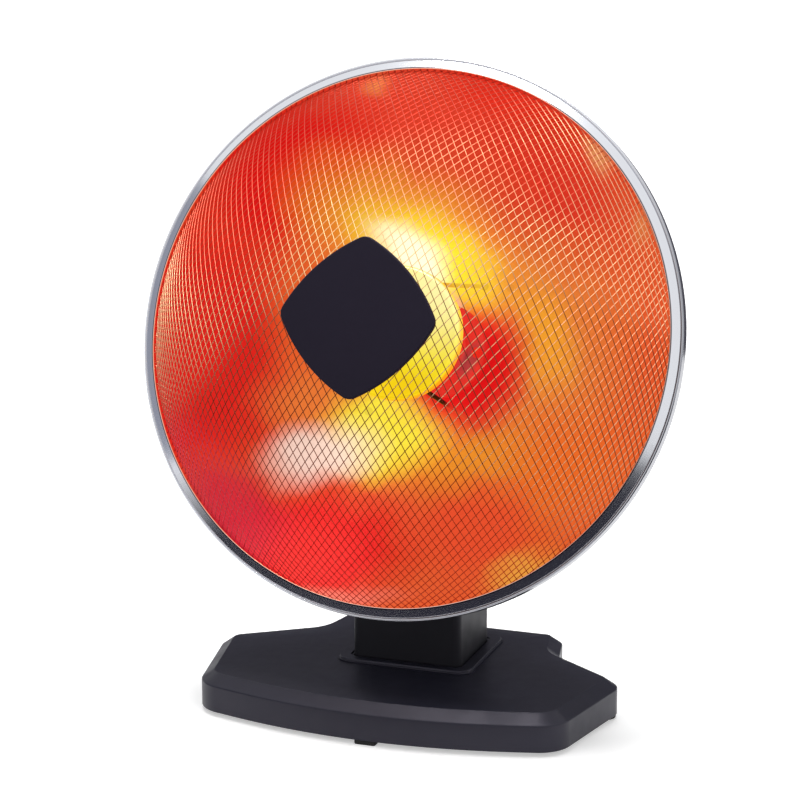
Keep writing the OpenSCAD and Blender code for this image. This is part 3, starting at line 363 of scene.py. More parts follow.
def softened(name, node, body, material, edge):
    """A CAD node's copy with its doubles merged, its flat faces joined and its edges rounded."""
    sharp, flat, double = 32, math.radians(0.6), 2e-6
    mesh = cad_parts[node].data.copy()
    mesh.name = name
    bm = bmesh.new()
    bm.from_mesh(mesh)
    bmesh.ops.remove_doubles(bm, verts=bm.verts, dist=double)
    bmesh.ops.dissolve_limit(
        bm, angle_limit=flat, use_dissolve_boundaries=False, verts=bm.verts, edges=bm.edges
    )
    bmesh.ops.recalc_face_normals(bm, faces=bm.faces)
    bm.to_mesh(mesh)
    bm.free()
    shade(mesh, sharp)
    bevel = finish_piece(name, mesh, body, material, (node,)).modifiers.new("Rounded edges", "BEVEL")
    bevel.limit_method = "ANGLE"
    bevel.angle_limit = math.radians(sharp)
    bevel.width = edge
    bevel.segments = 2
    bevel.use_clamp_overlap = True
    bevel.harden_normals = True


def dress(material, *nodes):
    """Gives CAD nodes a material."""
    for node in nodes:
        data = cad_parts[node]
        if not data.material_slots:
            data.data.materials.append(material)
        for slot in data.material_slots:
            slot.material = material


# ---- Finishes ----


class Nodes:
    """A node tree filled from nothing."""

    def __init__(self, owner):
        owner.use_nodes = True
        self.tree = owner.node_tree
        self.tree.nodes.clear()

    def node(self, kind, inputs=None, **settings):
        """A node with its settings, and what its inputs take, by their names or numbers."""
        node = self.tree.nodes.new("ShaderNode" + kind)
        for key, value in settings.items():
            setattr(node, key, value)
        for key, value in (inputs or {}).items():
            self.feed(node.inputs[key], value)
        return node

    def feed(self, target, value):
        """A socket is linked, and a number or colour is written on the input itself."""
        if isinstance(value, bpy.types.NodeSocket):
            self.tree.links.new(value, target)
        elif hasattr(target.default_value, "__len__") and hasattr(value, "__len__"):
            target.default_value = (tuple(value) + (1.0,))[: len(target.default_value)]
        else:
            target.default_value = value

    def sum(self, a, b, operation="ADD"):
        """Two values added, or joined by another operation."""
        return self.node("Math", {0: a, 1: b}, operation=operation).outputs[0]

    def times(self, a, b):
        """Two values multiplied."""
        return self.sum(a, b, "MULTIPLY")

    def ranged(self, value, low, high, to_low, to_high, curve="LINEAR"):
        """A value moved from one range to another."""
        ends = {"Value": value, "From Min": low, "From Max": high, "To Min": to_low, "To Max": to_high}
        return self.node("MapRange", ends, clamp=True, interpolation_type=curve).outputs["Result"]

    def size(self, vector):
        """A vector's length."""
        return self.node("VectorMath", {0: vector}, operation="LENGTH").outputs["Value"]

    def rays(self, *kinds):
        """1 for light paths of these kinds, and 0 for others."""
        path = self.node("LightPath")
        seen = path.outputs[f"Is {kinds[0]} Ray"]
        for kind in kinds[1:]:
            seen = self.sum(seen, path.outputs[f"Is {kind} Ray"], "MAXIMUM")
        return seen


class Finish(Nodes):
    """A material's nodes. Patterns read Object coordinates, so they stay on the piece."""

    def __init__(self, name, colour=(0, 0, 0)):
        self.material = bpy.data.materials.new(name)
        super().__init__(self.material)
        self.colour = np.array(colour[:3])
        self.place = self.node("TexCoord").outputs["Object"]

    def shown(self, shader):
        """The material, with a shader on its surface."""
        self.node("OutputMaterial", {"Surface": shader.outputs[0]})
        return self.material

    def made(self, **inputs):
        """The material, with a principled surface."""
        return self.shown(self.node("BsdfPrincipled", {k.replace("_", " "): v for k, v in inputs.items()}))

    def mapped(self, location=(0, 0, 0), rotation=(0, 0, 0), scale=(1, 1, 1), vector=None):
        """Coordinates as seen from a frame at a place, with a turn and a unit."""
        inputs = {"Vector": vector or self.place, "Location": location, "Rotation": rotation, "Scale": scale}
        return self.node("Mapping", inputs, vector_type="TEXTURE").outputs["Vector"]

    def dish_place(self):
        """Dish-frame coordinates in millimetres."""
        return self.mapped((0, DISH_Y * MM, DISH_Z * MM), (math.pi / 2 - TILT, 0, 0), (MM, MM, MM))

    def axis(self, vector, name):
        """A vector's X, Y or Z."""
        return self.node("SeparateXYZ", {0: vector}).outputs[name]

    def radius(self, place):
        """Distance from the dish's axis."""
        return self.size(self.node("VectorMath", {0: place, 1: (1, 1, 0)}, operation="MULTIPLY").outputs[0])

    def noise(self, size, detail=2.0, roughness=0.5, vector=None, stretch=None, output="Fac"):
        """Noise whose features are about size metres across, or size units of the given vector."""
        vector = vector or self.place
        if stretch:
            vector = self.mapped(scale=stretch, vector=vector)
        inputs = {"Vector": vector, "Scale": 1 / size, "Detail": detail, "Roughness": roughness}
        return self.node("TexNoise", inputs).outputs[output]

    def blend(self, factor, a, b):
        """Colour a turned into colour b by a factor."""
        return self.node("Mix", {"Factor": factor, 6: a, 7: b}, data_type="RGBA").outputs[2]

    def relief(self, height, depth, strength, under=None):
        """Bump of a height, depth metres deep, over another bump."""
        inputs = {"Height": height, "Distance": depth, "Strength": strength}
        return self.node("Bump", inputs | ({"Normal": under} if under else {})).outputs["Normal"]

    def spun(self, place, pitch, depth):
        """Fine turning marks: noise that changes with the distance from the axis only, and its bump."""
        ring = self.node("CombineXYZ", {"X": self.radius(place)})
        marks = self.noise(pitch, 4, 0.7, vector=ring.outputs["Vector"])
        return marks, self.relief(marks, depth, 0.6)

    def hill(self, value, a, b, c, d):
        """Rises from 0 to 1 between a and b, and falls back between c and d."""
        return self.times(self.ranged(value, a, b, 0.0, 1.0), self.ranged(value, c, d, 1.0, 0.0))

    def spot(self, place, middle, half, turn, core):
        """1 in the middle of an ellipse in the dish's plane, falling smoothly to 0 at its edge."""
        seen = self.mapped((*middle, 0), (0, 0, math.radians(turn)), (*half, 1e5), place)
        return self.ranged(self.size(seen), core, 1.0, 1.0, 0.0, "SMOOTHSTEP")

    def laid(self, colour, place, patches):
        """A colour with soft patches laid over it in order."""
        for middle, half, turn, core, cover, rgb in patches:
            spot = self.spot(place, middle, half, turn, core)
            colour = self.blend(self.ranged(spot, 0, 1, 0, cover), colour, linear(rgb))
        return colour


def moulded_plastic(name, colour, rough=0.5, grain=0.0006, depth=0.00003, gloss=0.3, scuff=0.35):
    """Moulded plastic: a fine spark-eroded grain, slow change of tone, and pale scuffs here and there."""
    f = Finish(name, colour)
    tone = f.ranged(f.noise(0.09, 3), 0.3, 0.7, 0.0, 1.0)
    scratches = f.ranged(f.noise(0.004, 6, 0.75, stretch=(1, 3.5, 1)), 0.66, 0.8, 0.0, scuff)
    dust = f.ranged(f.noise(0.0007, 4, 0.7), 0.62, 0.78, 0.0, 0.22)
    base = f.blend(tone, f.colour * 0.95, f.colour * 1.06)
    base = f.blend(scratches, base, f.colour * 1.6 + 0.01)
    grained = f.relief(f.noise(grain, 2, 0.6), depth, 0.6)
    return f.made(
        Base_Color=f.blend(dust, base, f.colour * 1.5 + 0.008),
        Roughness=f.ranged(f.noise(0.02, 4), 0.3, 0.7, rough - 0.05, rough + 0.07),
        Normal=f.relief(f.noise(0.05, 1), 0.0003, 0.12, grained),
        Specular_IOR_Level=gloss, Specular_Tint=(0.9, 0.86, 1.0),
    )


def worked_metal(name, colour, rough=0.3, grain=0.0004, stretch=(1, 1, 1), depth=0.000015, tarnish=0.25):
    """Bare metal: drawn or rolled lines, and a slow tarnish that dulls and darkens it."""
    f = Finish(name, colour)
    lines = f.noise(grain, 3, 0.6, stretch=stretch)
    patina = f.ranged(f.noise(0.012, 5, 0.65), 0.4, 0.75, 0.0, tarnish)
    shine = f.ranged(lines, 0.3, 0.7, rough - 0.07, rough + 0.07)
    return f.made(
        Base_Color=f.blend(patina, f.blend(lines, f.colour * 0.86, f.colour), f.colour * 0.55),
        Roughness=f.sum(shine, f.ranged(patina, 0, 1, 0, 0.3)),
        Normal=f.relief(lines, depth, 0.5), Metallic=1.0,
    )


def pitted(f):
    """A ceramic's pitted, chalky skin."""
    pits = f.noise(0.0012, 4, 0.7)
    return {"Roughness": f.ranged(pits, 0.3, 0.7, 0.6, 0.8), "Normal": f.relief(pits, 0.0001, 0.5)}


def fired_ceramic(name, glow=None, strength=0.0):
    """Fired ceramic: faintly speckled, and lit by the coil where it glows."""
    f = Finish(name, colours().ceramic)
    base = f.blend(f.ranged(f.noise(0.01, 4), 0.35, 0.7, 0, 1), f.colour, f.colour * [0.9, 0.85, 0.78])
    base = f.blend(f.ranged(f.noise(0.0006, 2), 0.68, 0.74, 0, 0.5), base, f.colour * 0.45)
    lit = {}
    if glow:
        heat = f.ranged(f.noise(0.015, 3), 0.3, 0.7, 0.75, 1.1)
        lit = {"Emission_Color": glow, "Emission_Strength": f.times(heat, strength)}
    return f.made(Base_Color=base, **lit, **pitted(f))


def lit_ceramic():
    """Hub: fired ceramic lit red through, with a dull mauve streak where it is shaded on its right."""
    f = Finish("hub_lit_ceramic")
    heat = f.ranged(f.noise(0.015, 3), 0.3, 0.7, 0.6, 0.76)
    streak = ((23, -5), (8, 20), -25, 0.3, 1, (150, 50, 60))
    return f.made(
        Base_Color=f.blend(heat, linear((120, 40, 30)), linear((160, 50, 36))),
        Emission_Color=f.laid(linear((226, 20, 24)), f.dish_place(), [streak]),
        Emission_Strength=heat, **pitted(f),
    )


# Soft patches of the painted glow in the dish, the element's light reflected there painted on: middle,
# half sizes and turn in the dish's plane, how far the full colour reaches, how strongly it covers what is
# under it, and its colour.
GLOW_PATCHES = (
    ((0, 165), (230, 80), 0, 0.2, 0.9, (224, 62, 44)),
    ((86, 112), (105, 66), -25, 0.1, 0.85, (221, 44, 34)),
    ((-108, 108), (95, 62), 40, 0.35, 1.0, (228, 24, 24)),
    ((48, 168), (70, 22), -14, 0.2, 0.8, (234, 46, 30)),
    ((-158, -20), (85, 135), 0, 0.4, 0.95, (226, 26, 26)),
    ((150, 30), (60, 110), 0, 0.1, 0.6, (228, 84, 44)),
    ((70, 5), (105, 100), 0, 0.1, 0.75, (234, 150, 62)),
    ((95, -85), (110, 75), 25, 0.1, 0.85, (239, 112, 36)),
    ((25, -72), (75, 45), 10, 0.1, 0.85, (240, 152, 40)),
    ((74, 14), (36, 56), 20, 0.1, 0.75, (250, 172, 44)),
    ((-25, 72), (110, 62), -20, 0.15, 0.9, (240, 178, 52)),
    ((-15, 58), (78, 46), -22, 0.2, 0.95, (246, 226, 50)),
    ((-26, 66), (44, 20), -32, 0.25, 1.0, (255, 252, 214)),
    ((-72, 12), (62, 82), 0, 0.3, 0.75, (240, 112, 46)),
    ((-86, -45), (44, 34), 10, 0.1, 0.55, (240, 140, 60)),
    ((-30, -55), (62, 48), 30, 0.35, 0.95, (240, 224, 62)),
    ((-72, -80), (52, 32), 15, 0.25, 0.9, (250, 222, 206)),
    ((-64, -146), (100, 56), 5, 0.4, 1.0, (228, 16, 20)),
    ((-112, -130), (60, 38), -42, 0.3, 0.85, (214, 26, 54)),
    ((48, -122), (70, 44), -12, 0.3, 0.85, (236, 76, 44)),
    ((92, -148), (42, 20), 28, 0.1, 0.85, (236, 168, 66)),
    ((-28, -177), (60, 12), 8, 0.1, 0.7, (238, 128, 110)),
    ((118, 128), (20, 12), -45, 0.0, 0.7, (222, 168, 104)),
    ((150, 86), (12, 18), -25, 0.0, 0.6, (222, 140, 76)),
    ((-44, 171), (18, 9), 15, 0.0, 0.7, (234, 160, 84)),
    ((16, -12), (66, 62), 0, 0.4, 0.8, (226, 70, 52)),
    ((20, -11), (54, 52), 20, 0.45, 1.0, (225, 20, 24)),
    ((9, 30), (7, 20), 22, 0.1, 0.75, (244, 168, 150)),
)
# Painted reflection and painted shade on the outer and the inner wires: the glow that they mirror in
# places, and dark brown where they are shaded, given in the same way.
OUTER_SHADES = (
    ((0, 118), (170, 70), 0, 0.3, 0.75, (236, 110, 78)),
    ((-20, 160), (160, 58), 6, 0.45, 0.9, (196, 44, 30)),
    ((-125, 90), (90, 110), 30, 0.45, 0.85, (206, 52, 40)),
    ((-150, -90), (90, 90), 0, 0.3, 0.75, (206, 58, 64)),
    ((70, -116), (230, 165), 0, 0.85, 0.97, (112, 34, 16)),
    ((30, -145), (150, 75), 0, 0.4, 0.8, (196, 58, 24)),
    ((-62, -150), (90, 52), 0, 0.4, 0.85, (206, 34, 34)),
    ((-128, -118), (76, 60), -40, 0.5, 0.85, (220, 70, 96)),
)
INNER_SHADES = (
    ((0, 118), (170, 70), 0, 0.3, 0.75, (236, 110, 78)),
    ((-20, 160), (160, 58), 6, 0.45, 0.9, (196, 40, 28)),
    ((-125, 90), (90, 110), 30, 0.5, 0.9, (206, 40, 30)),
    ((105, 120), (80, 48), -38, 0.45, 0.9, (200, 48, 32)),
    ((150, 30), (60, 70), 0, 0.3, 0.45, (232, 90, 50)),
    ((0, -190), (230, 138), -28, 0.82, 0.95, (126, 34, 18)),
    ((-45, -30), (75, 60), 0, 0.5, 0.75, (126, 40, 18)),
    ((30, -145), (150, 75), 0, 0.4, 0.8, (196, 56, 24)),
    ((-62, -150), (90, 52), 0, 0.4, 0.85, (200, 30, 30)),
    ((-128, -118), (76, 60), -40, 0.5, 0.85, (214, 60, 84)),
)


def glow_colour(f, place):
    """The dish's painted glow, the element's light reflected in it painted on: a main colour with the soft
    patches laid over it, their edges pulled about by slow noise."""
    pull = f.noise(34, vector=place, output="Color")
    centred = f.node("VectorMath", {0: pull, 1: (0.5, 0.5, 0.5)}, operation="SUBTRACT").outputs[0]
    shifted = f.node("VectorMath", {0: centred, 1: (22, 22, 0), 2: place}, operation="MULTIPLY_ADD")
    return f.laid(colours().glow, shifted.outputs[0], GLOW_PATCHES)


def glowing_dish():
    """Front of the dish: polished aluminium that throws back the element's heat, with spun bands. The
    element's light reflected in it is painted on as a glow, with painted highlights above and below the
    cap.
    """
    f = Finish("dish_front_polished")
    place = f.dish_place()
    marks, normal = f.spun(place, 0.9, 0.00006)
    glow = glow_colour(f, place)
    ripple = f.ranged(marks, 0.25, 0.75, 0.9, 1.06)
    speckle = f.ranged(f.noise(0.0022, 3, 0.6), 0.3, 0.7, 0.94, 1.04)
    # Painted highlights: the glow is made brighter in a spot above the cap and in one below it.
    high = f.times(f.spot(place, (-8, 55), (88, 62), -20, 0.3), 0.26)
    low = f.times(f.spot(place, (-25, -58), (74, 52), 20, 0.3), 0.2)
    heat = f.sum(f.sum(high, low), 0.92)
    return f.made(
        Base_Color=f.blend(0.96, glow, (0.02, 0.005, 0.004)), Metallic=1.0, Roughness=0.34, Normal=normal,
        Emission_Color=glow, Emission_Strength=f.times(f.times(ripple, speckle), heat),
    )


def spun_aluminium():
    """Back of the dish: bare spun aluminium with turning marks and dull patches."""
    f = Finish("dish_back_spun", colours().dish)
    marks, normal = f.spun(f.dish_place(), 0.7, 0.00008)
    dull = f.ranged(f.noise(0.03, 5, 0.6), 0.4, 0.7, 0.0, 0.35)
    return f.made(
        Base_Color=f.blend(dull, f.blend(marks, f.colour * 0.82, f.colour), f.colour * 0.62),
        Roughness=f.sum(f.ranged(marks, 0.3, 0.7, 0.26, 0.4), f.ranged(dull, 0, 1, 0, 0.3)),
        Metallic=1.0, Normal=normal,
    )


def polished_bezel():
    """Bezel: bright rolled metal with faint lines round it and a few dull marks. Painted shade makes it
    darker behind its rim, in its groove and bead on the side turned to the camera, and along its inner
    seam, and a painted reflection of the glow lies on its inner edge."""
    f = Finish("bezel_polished_metal", colours().bezel)
    place = f.dish_place()
    marks, normal = f.spun(place, 0.35, 0.000002)
    groove_r, seam_r = (186.8, 187.2, 187.5, 187.9), (180.9, 181.1, 181.6, 181.9)
    bead_r, inner_r = (187.8, 188.1), (180.7, 180.95)
    radius = f.radius(place)
    side = f.sum(f.times(f.axis(place, "X"), 0.82), f.times(f.axis(place, "Y"), -0.57))
    marred = f.ranged(f.noise(0.006, 6, 0.7), 0.6, 0.8, 0.0, 0.1)
    base = f.blend(marred, f.blend(marks, f.colour * 0.97, f.colour), f.colour * 0.75)
    # Painted shade: darker behind the rim, low on the skirt.
    base = f.blend(f.ranged(f.axis(place, "Z"), 0.2, 1.4, 0.75, 0.0), base, f.colour * 0.4)
    # Painted shade in the groove on one side, and along the inner seam.
    groove = f.times(f.hill(radius, *groove_r), f.ranged(side, 50, 150, 0.12, 0.8))
    seam = f.times(f.hill(radius, *seam_r), 0.9)
    base = f.blend(f.sum(groove, seam), base, (0.06, 0.02, 0.018))
    # Painted shade: the bead and the skirt beyond it darker on one side.
    bead = f.times(f.ranged(radius, *bead_r, 0.0, 1.0), f.ranged(side, 20, 120, 0.0, 0.7))
    base = f.blend(bead, base, (0.16, 0.16, 0.19))
    # Painted reflection of the glow on the inner edge, in its colour and a faint emission.
    inner = f.ranged(radius, *inner_r, 1.0, 0.0)
    return f.made(
        Base_Color=f.blend(inner, base, linear((226, 130, 100))), Metallic=1.0, Normal=normal,
        Roughness=f.ranged(marred, 0, 0.1, 0.16, 0.26),
        Emission_Color=linear((250, 170, 110)), Emission_Strength=f.times(inner, 0.3),
    )


def grille_wire(name, shades):
    """Grille wire: plated steel, bright where it catches the light, with a painted yellow glow over the
    crown and patches of painted reflection and painted shade, brown or red, laid on it."""
    f = Finish(name, colours().wire)
    place = f.dish_place()
    # Patches of painted reflection and painted shade laid over the wire's colour.
    base = f.laid(f.blend(f.noise(9.0, 2, vector=place), f.colour * 0.8, f.colour), place, shades)
    soot = f.ranged(f.noise(0.008, 5, 0.7), 0.5, 0.75, 0.0, 0.3)
    drawn = f.noise(0.0006, 2, 0.6)
    return f.made(
        Base_Color=f.blend(soot, base, f.colour * 0.4), Metallic=0.85,
        Roughness=f.ranged(drawn, 0.3, 0.7, 0.28, 0.42), Normal=f.relief(drawn, 0.00002, 0.4),
        # Painted yellow glow over the crown.
        Emission_Color=linear((255, 226, 130)),
        Emission_Strength=f.times(f.spot(place, (0, 48), (100, 58), 0, 0.2), 0.24),
    )


def lit_metal(name, rgb, low, high, dark=False):
    """Metal in the dish with a painted reflection of the glow behind it above a height, but for a dark part
    low under the cap."""
    f = Finish(name, linear(rgb))
    place = f.dish_place()
    up = f.axis(place, "Z")
    # Painted reflection of the glow behind it, above a height.
    lit = f.ranged(up, low, high, 0.0, 0.9)
    if dark:
        clear = f.ranged(f.axis(place, "Y"), -8, 4, 0.0, 1.0)
        lit = f.times(lit, f.sum(f.ranged(up, -34, -22, 1.0, 0.0), clear, "MAXIMUM"))
    skin = f.noise(0.0011, 4, 0.6)
    return f.made(
        Base_Color=f.blend(skin, f.colour * 0.8, f.colour), Metallic=1.0,
        Roughness=f.ranged(skin, 0.3, 0.7, 0.4, 0.55), Normal=f.relief(skin, 0.00002, 0.4),
        Emission_Color=glow_colour(f, place), Emission_Strength=lit,
    )


def glowing_cap():
    """Deflector cap: metal lit through by the element, yellow on its face and orange down its skirt."""
    f = Finish("cap_lit_metal")
    place = f.dish_place()
    marks, normal = f.spun(place, 0.5, 0.00003)
    face = f.ranged(f.axis(place, "Z"), CAP_TOP - 4.5, CAP_TOP - 1.2, 0.0, 1.0, "SMOOTHSTEP")
    pale = ((30, 34), (70, 60), 0, 0.1, 1, (255, 246, 168))
    deep = ((8, -38), (52, 22), 10, 0.1, 1, (246, 208, 18))
    edge = ((44, 20), (40, 50), 0, 0.1, 1, (250, 214, 70))
    skirt = f.laid(linear((238, 160, 24)), place, [edge])
    glow = f.blend(face, skirt, f.laid(colours().cap, place, [pale, deep]))
    return f.made(
        Base_Color=f.blend(0.8, glow, (0.05, 0.03, 0.01)), Metallic=1.0, Roughness=0.36, Normal=normal,
        Emission_Color=glow, Emission_Strength=f.ranged(marks, 0.25, 0.75, 0.88, 1.0),
    )


def hot_coil():
    """Resistance wire at work: orange to yellow heat that wavers along the coil."""
    f = Finish("coil_hot_wire")
    heat = f.noise(0.012, 3)
    return f.made(
        Base_Color=(0.25, 0.12, 0.08), Metallic=0.6, Roughness=f.ranged(heat, 0.3, 0.7, 0.4, 0.6),
        Emission_Color=f.blend(f.ranged(heat, 0.35, 0.65, 0, 1), linear((255, 96, 22)), colours().hot),
        Emission_Strength=f.ranged(heat, 0.3, 0.7, 1.0, 2.0),
        Normal=f.relief(f.noise(0.0005, 2), 0.00003, 0.4),
    )


def dark_iron():
    """Cast iron: coarse skin with rusty brown in places."""
    f = Finish("ballast_cast_iron", linear((84, 82, 80)))
    rust = f.ranged(f.noise(0.008, 6, 0.7), 0.52, 0.7, 0.0, 0.6)
    skin = f.noise(0.0009, 5, 0.7)
    return f.made(
        Base_Color=f.blend(rust, f.blend(skin, f.colour * 0.8, f.colour * 1.1), (0.11, 0.05, 0.025)),
        Roughness=f.ranged(rust, 0, 0.6, 0.6, 0.8), Metallic=0.6, Normal=f.relief(skin, 0.00012, 0.7),
    )


def moulded_rubber():
    """Rubber: matt, with a bloom of dust."""
    f = Finish("foot_moulded_rubber", (0.016, 0.016, 0.017))
    bloom = f.ranged(f.noise(0.006, 5, 0.7), 0.45, 0.75, 0.0, 0.4)
    return f.made(
        Base_Color=f.blend(bloom, f.colour, (0.06, 0.058, 0.055)),
        Roughness=f.ranged(bloom, 0, 0.4, 0.7, 0.9),
        Normal=f.relief(f.noise(0.0007, 3), 0.00006, 0.6), Specular_IOR_Level=0.25,
    )


def lamp_lens():
    """Pilot lamp: amber lens lit from behind, with faint facets."""
    f = Finish("lamp_amber_lens", colours().lamp)
    facets = f.noise(0.0013, 2)
    return f.made(
        Base_Color=f.blend(facets, f.colour, f.colour * 0.6),
        Roughness=f.ranged(facets, 0.3, 0.7, 0.12, 0.25),
        Emission_Color=f.colour, Emission_Strength=f.ranged(facets, 0.3, 0.7, 0.5, 0.9),
        Normal=f.relief(facets, 0.0001, 0.6), Coat_Weight=0.5,
    )


@cache
def white_paint():
    """Pad-printed paint: slightly uneven, rubbed thin in places."""
    f = Finish("marks_white_paint", linear((214, 214, 208)))
    rub = f.ranged(f.noise(0.0012, 5, 0.7), 0.55, 0.75, 0.0, 0.35)
    return f.made(
        Base_Color=f.blend(rub, f.colour, f.colour * 0.5), Roughness=f.ranged(rub, 0, 0.35, 0.45, 0.65),
        Normal=f.relief(rub, 0.00002, 0.5),
    )


@cache
def case_black():
    """Plastic of the base's cover and the neck's collar."""
    return moulded_plastic("case_charcoal_plastic", colours().case, 0.4, gloss=0.4, scuff=0.12)


@cache
def neck_black():
    """Plastic of the neck, the rear housing and the switch body."""
    return moulded_plastic("neck_black_plastic", colours().neck, 0.5, gloss=0.25, scuff=0.2)


@cache
def zinc_steel():
    """Zinc-plated steel of the screws, clips, rod, spring and shaft."""
    return worked_metal("screw_zinc_steel", linear((188, 190, 192)), 0.32)


@cache
def dull_steel():
    """Rolled steel of the tilt bracket and the thermostat."""
    rolled = linear((128, 129, 133))
    return worked_metal("bracket_rolled_steel", rolled, 0.42, 0.0009, (1, 6, 1), 0.00003, 0.4)


@cache
def brass():
    """Brass of the tie nuts and the friction washers."""
    return worked_metal("washer_brass", linear((196, 164, 92)), 0.34, tarnish=0.45)


# ---- Small shapes used by several pieces ----


def screw_parts(radius, head_r, head_h, reach):
    """A pan-head screw whose seat is on Z = 0 and whose shank runs up. The head's height over its seat
    falls as a flat dome, less a cross recess: two bars whose edges are smooth steps. The shank's radius
    runs as a saw."""
    half_w, soft_w, half_l, soft_l, deep, pitch, cut, tip = 0.15, 0.06, 0.62, 0.1, 0.62, 0.8, 0.22, 0.02
    rho = np.linspace(tip, 1, 13)[:, None]
    a = np.linspace(0, 2 * np.pi, 40, endpoint=False)[None, :]
    x, y = rho * np.cos(a), rho * np.sin(a)
    dome = np.sqrt(np.clip(1 - 0.8 * rho**3.2, 0, 1))

    def bar(u, v):
        return np.clip((half_w - np.abs(u)) / soft_w, 0, 1) * np.clip((half_l - np.abs(v)) / soft_l, 0, 1)

    recess = np.maximum(bar(x, y), bar(y, x))
    top = np.stack([x * head_r, y * head_r, -head_h * (dome + 0 * a) + deep * head_h * recess], -1)
    seat = np.stack(np.broadcast_arrays(x[-1] * head_r, y[-1] * head_r, 0 * a[0]), -1)[None]
    inner = seat * [radius / head_r, radius / head_r, 1]
    z = np.linspace(tip, reach, int(reach / (pitch / 4)))
    thread = radius - cut * np.abs((z / pitch) % 1 - 0.5) * 2
    thread[-3:] = np.minimum(thread[-3:], radius * np.array([0.85, 0.6, 0.35]))
    shank = np.concatenate([[[tip, tip]], np.column_stack([thread, z]), [[tip, reach]]])
    return [surface(np.concatenate([top, seat, inner]), False), lathe(shank, 16, False)]


def screws(name, node, size, places, at=from_dish, body="head"):
    """Screws of one size: radius, head radius, head height and reach, each with its seat on a place."""
    parts = [part for spot in places for part in moved(screw_parts(*size), spot)]
    make(name, parts, body, zinc_steel(), (node,), at, sharp=50)


# ---- The dish ----


def build_reflector():
    """Front: z = -depth (1 - r^2 / R^2) from the lip to the flat seat. Back: the same curve moved out
    along its normal by the sheet's thickness."""
    turns, seat_steps, lip_steps, flat = 192, 8, 4, 1
    r = np.linspace(SEAT_R, DISH_R, 72)
    slope = np.arctan(2 * DISH_DEPTH * r / DISH_R**2)
    front = np.column_stack([r, -DISH_DEPTH * (1 - (r / DISH_R) ** 2)])
    back = front + SHEET * np.column_stack([np.sin(slope), -np.cos(slope)])
    seat = level(np.linspace(ROD_HOLE, SEAT_R - flat, seat_steps), -SEAT_DEPTH)
    edge = [(DISH_R + flat, 0), (LIP_R, 0), (LIP_R, -SHEET), (DISH_R + flat, -SHEET)]
    lip = rounded([(*point, 0.45) for point in edge], lip_steps, False)
    lip[0] = (DISH_R + 0.8, 0.0)
    bowl = lathe(np.concatenate([seat, front[:-1], lip[:-1], back[-2::-1], seat[::-1] - [0, SHEET]]), turns)
    lit_rows = seat_steps + len(front) - 1 + lip_steps - 1
    zones = np.arange(len(bowl[1])) // turns >= lit_rows
    finishes = [glowing_dish(), spun_aluminium()]
    make("reflector_bowl", [bowl], "head", finishes, ("reflector",), zones=[zones])


def build_bezel():
    """A closed profile carried round the dish: skirt, bead, groove, sloped face, and the sheet's
    underside."""
    rows = [
        (188.6, -BEZEL_SKIRT, 0.4), (188.6, 0.5, 0.2), (BEZEL_R, 1.0, 0.2), (BEZEL_R, 1.9, 0.3),
        (188.4, 2.5, 0.3), (187.75, 2.5, 0.2), (187.3, 1.75, 0.2), (186.7, 2.62, 0.25),
        (181.0, 5.6, 0.12), (BEZEL_INNER, 5.45, 0.12), (BEZEL_INNER, 4.6, 0.2), (187.3, 0.6, 0.4),
        (187.3, -BEZEL_SKIRT, 0.4),
    ]
    ring = lathe(rounded(rows, 3), 288)
    make("bezel_band", [ring], "head", polished_bezel(), ("bezel_ring",))
    dress(zinc_steel(), "bezel_clips")


def net_wires(bearing, pitch, start, side):
    """Parallel straight wires of a flat net, laid on the dome. A point at flat distance s from the axis
    goes to distance r, where s = (1 - w) r + w R asin(r / R) + c B (r / B)^9, so the net closes up
    towards its edge B. Each point is then moved along the dome's normal to its side of the net, and every
    wire ends on the hoop."""
    drape, crowd, edge_gap, step = 0.68, 0.12, 2.0, 3
    r = np.linspace(0, BEZEL_INNER, 600)
    s = (1 - drape) * r + drape * DOME_R * np.arcsin(r / DOME_R)
    s = s + crowd * BEZEL_INNER * (r / BEZEL_INNER) ** 9
    n = np.array([math.cos(math.radians(bearing)), math.sin(math.radians(bearing))])
    along = np.array([-n[1], n[0]])
    weld = GRILLE_EDGE_Z + WELD_RISE
    wires = []
    for i in range(-int(s[-1] / pitch) - 1, int(s[-1] / pitch) + 1):
        off = (i + start) * pitch
        if abs(off) > s[-1] - edge_gap:
            continue
        reach = math.sqrt(s[-1] ** 2 - off**2)
        flat = off * n + np.linspace(-reach, reach, max(5, int(reach / step)))[:, None] * along
        size = np.linalg.norm(flat, axis=1)
        radius = np.interp(size, s, r)
        xy = flat * (radius / np.maximum(size, 1e-9))[:, None]
        path = np.column_stack([xy, DOME_MIDDLE + np.sqrt(DOME_R**2 - radius**2)])
        normal = unit(path - [0, 0, DOME_MIDDLE])
        path = path + side * mm(sizes().layer) * normal
        tails = [np.append(unit(xy[end]) * (HOOP_R + 0.3), weld) for end in (0, -1)]
        normal = np.vstack([[0, 0, 1], normal, [0, 0, 1]])
        wires.append(tube(np.vstack([tails[0], path, tails[1]]), normal, mm(sizes().wire) / 2, 5))
    return wires


def build_grille():
    """The net's outer and inner wires, and the hoop of round wire that their ends are welded to."""
    pitch = mm(sizes().pitch)
    outer = net_wires(28.6, pitch * 1.002, 0.37, 0.5)
    inner = net_wires(-38.6, pitch * 0.996, 0.15, -0.5)
    k = np.linspace(0, 2 * np.pi, 10, endpoint=False)
    round_wire = [HOOP_R, GRILLE_EDGE_Z + WELD_RISE] + HOOP_THICK * np.column_stack([np.cos(k), np.sin(k)])
    finishes = [
        grille_wire("grille_outer_wire", OUTER_SHADES), grille_wire("grille_inner_wire", INNER_SHADES)
    ]
    make(
        "grille_mesh", outer + inner + [lathe(round_wire, 160)], "head", finishes, ("grille",),
        zones=[0] * len(outer) + [1] * (len(inner) + 1), sharp=80, weighted=False,
    )


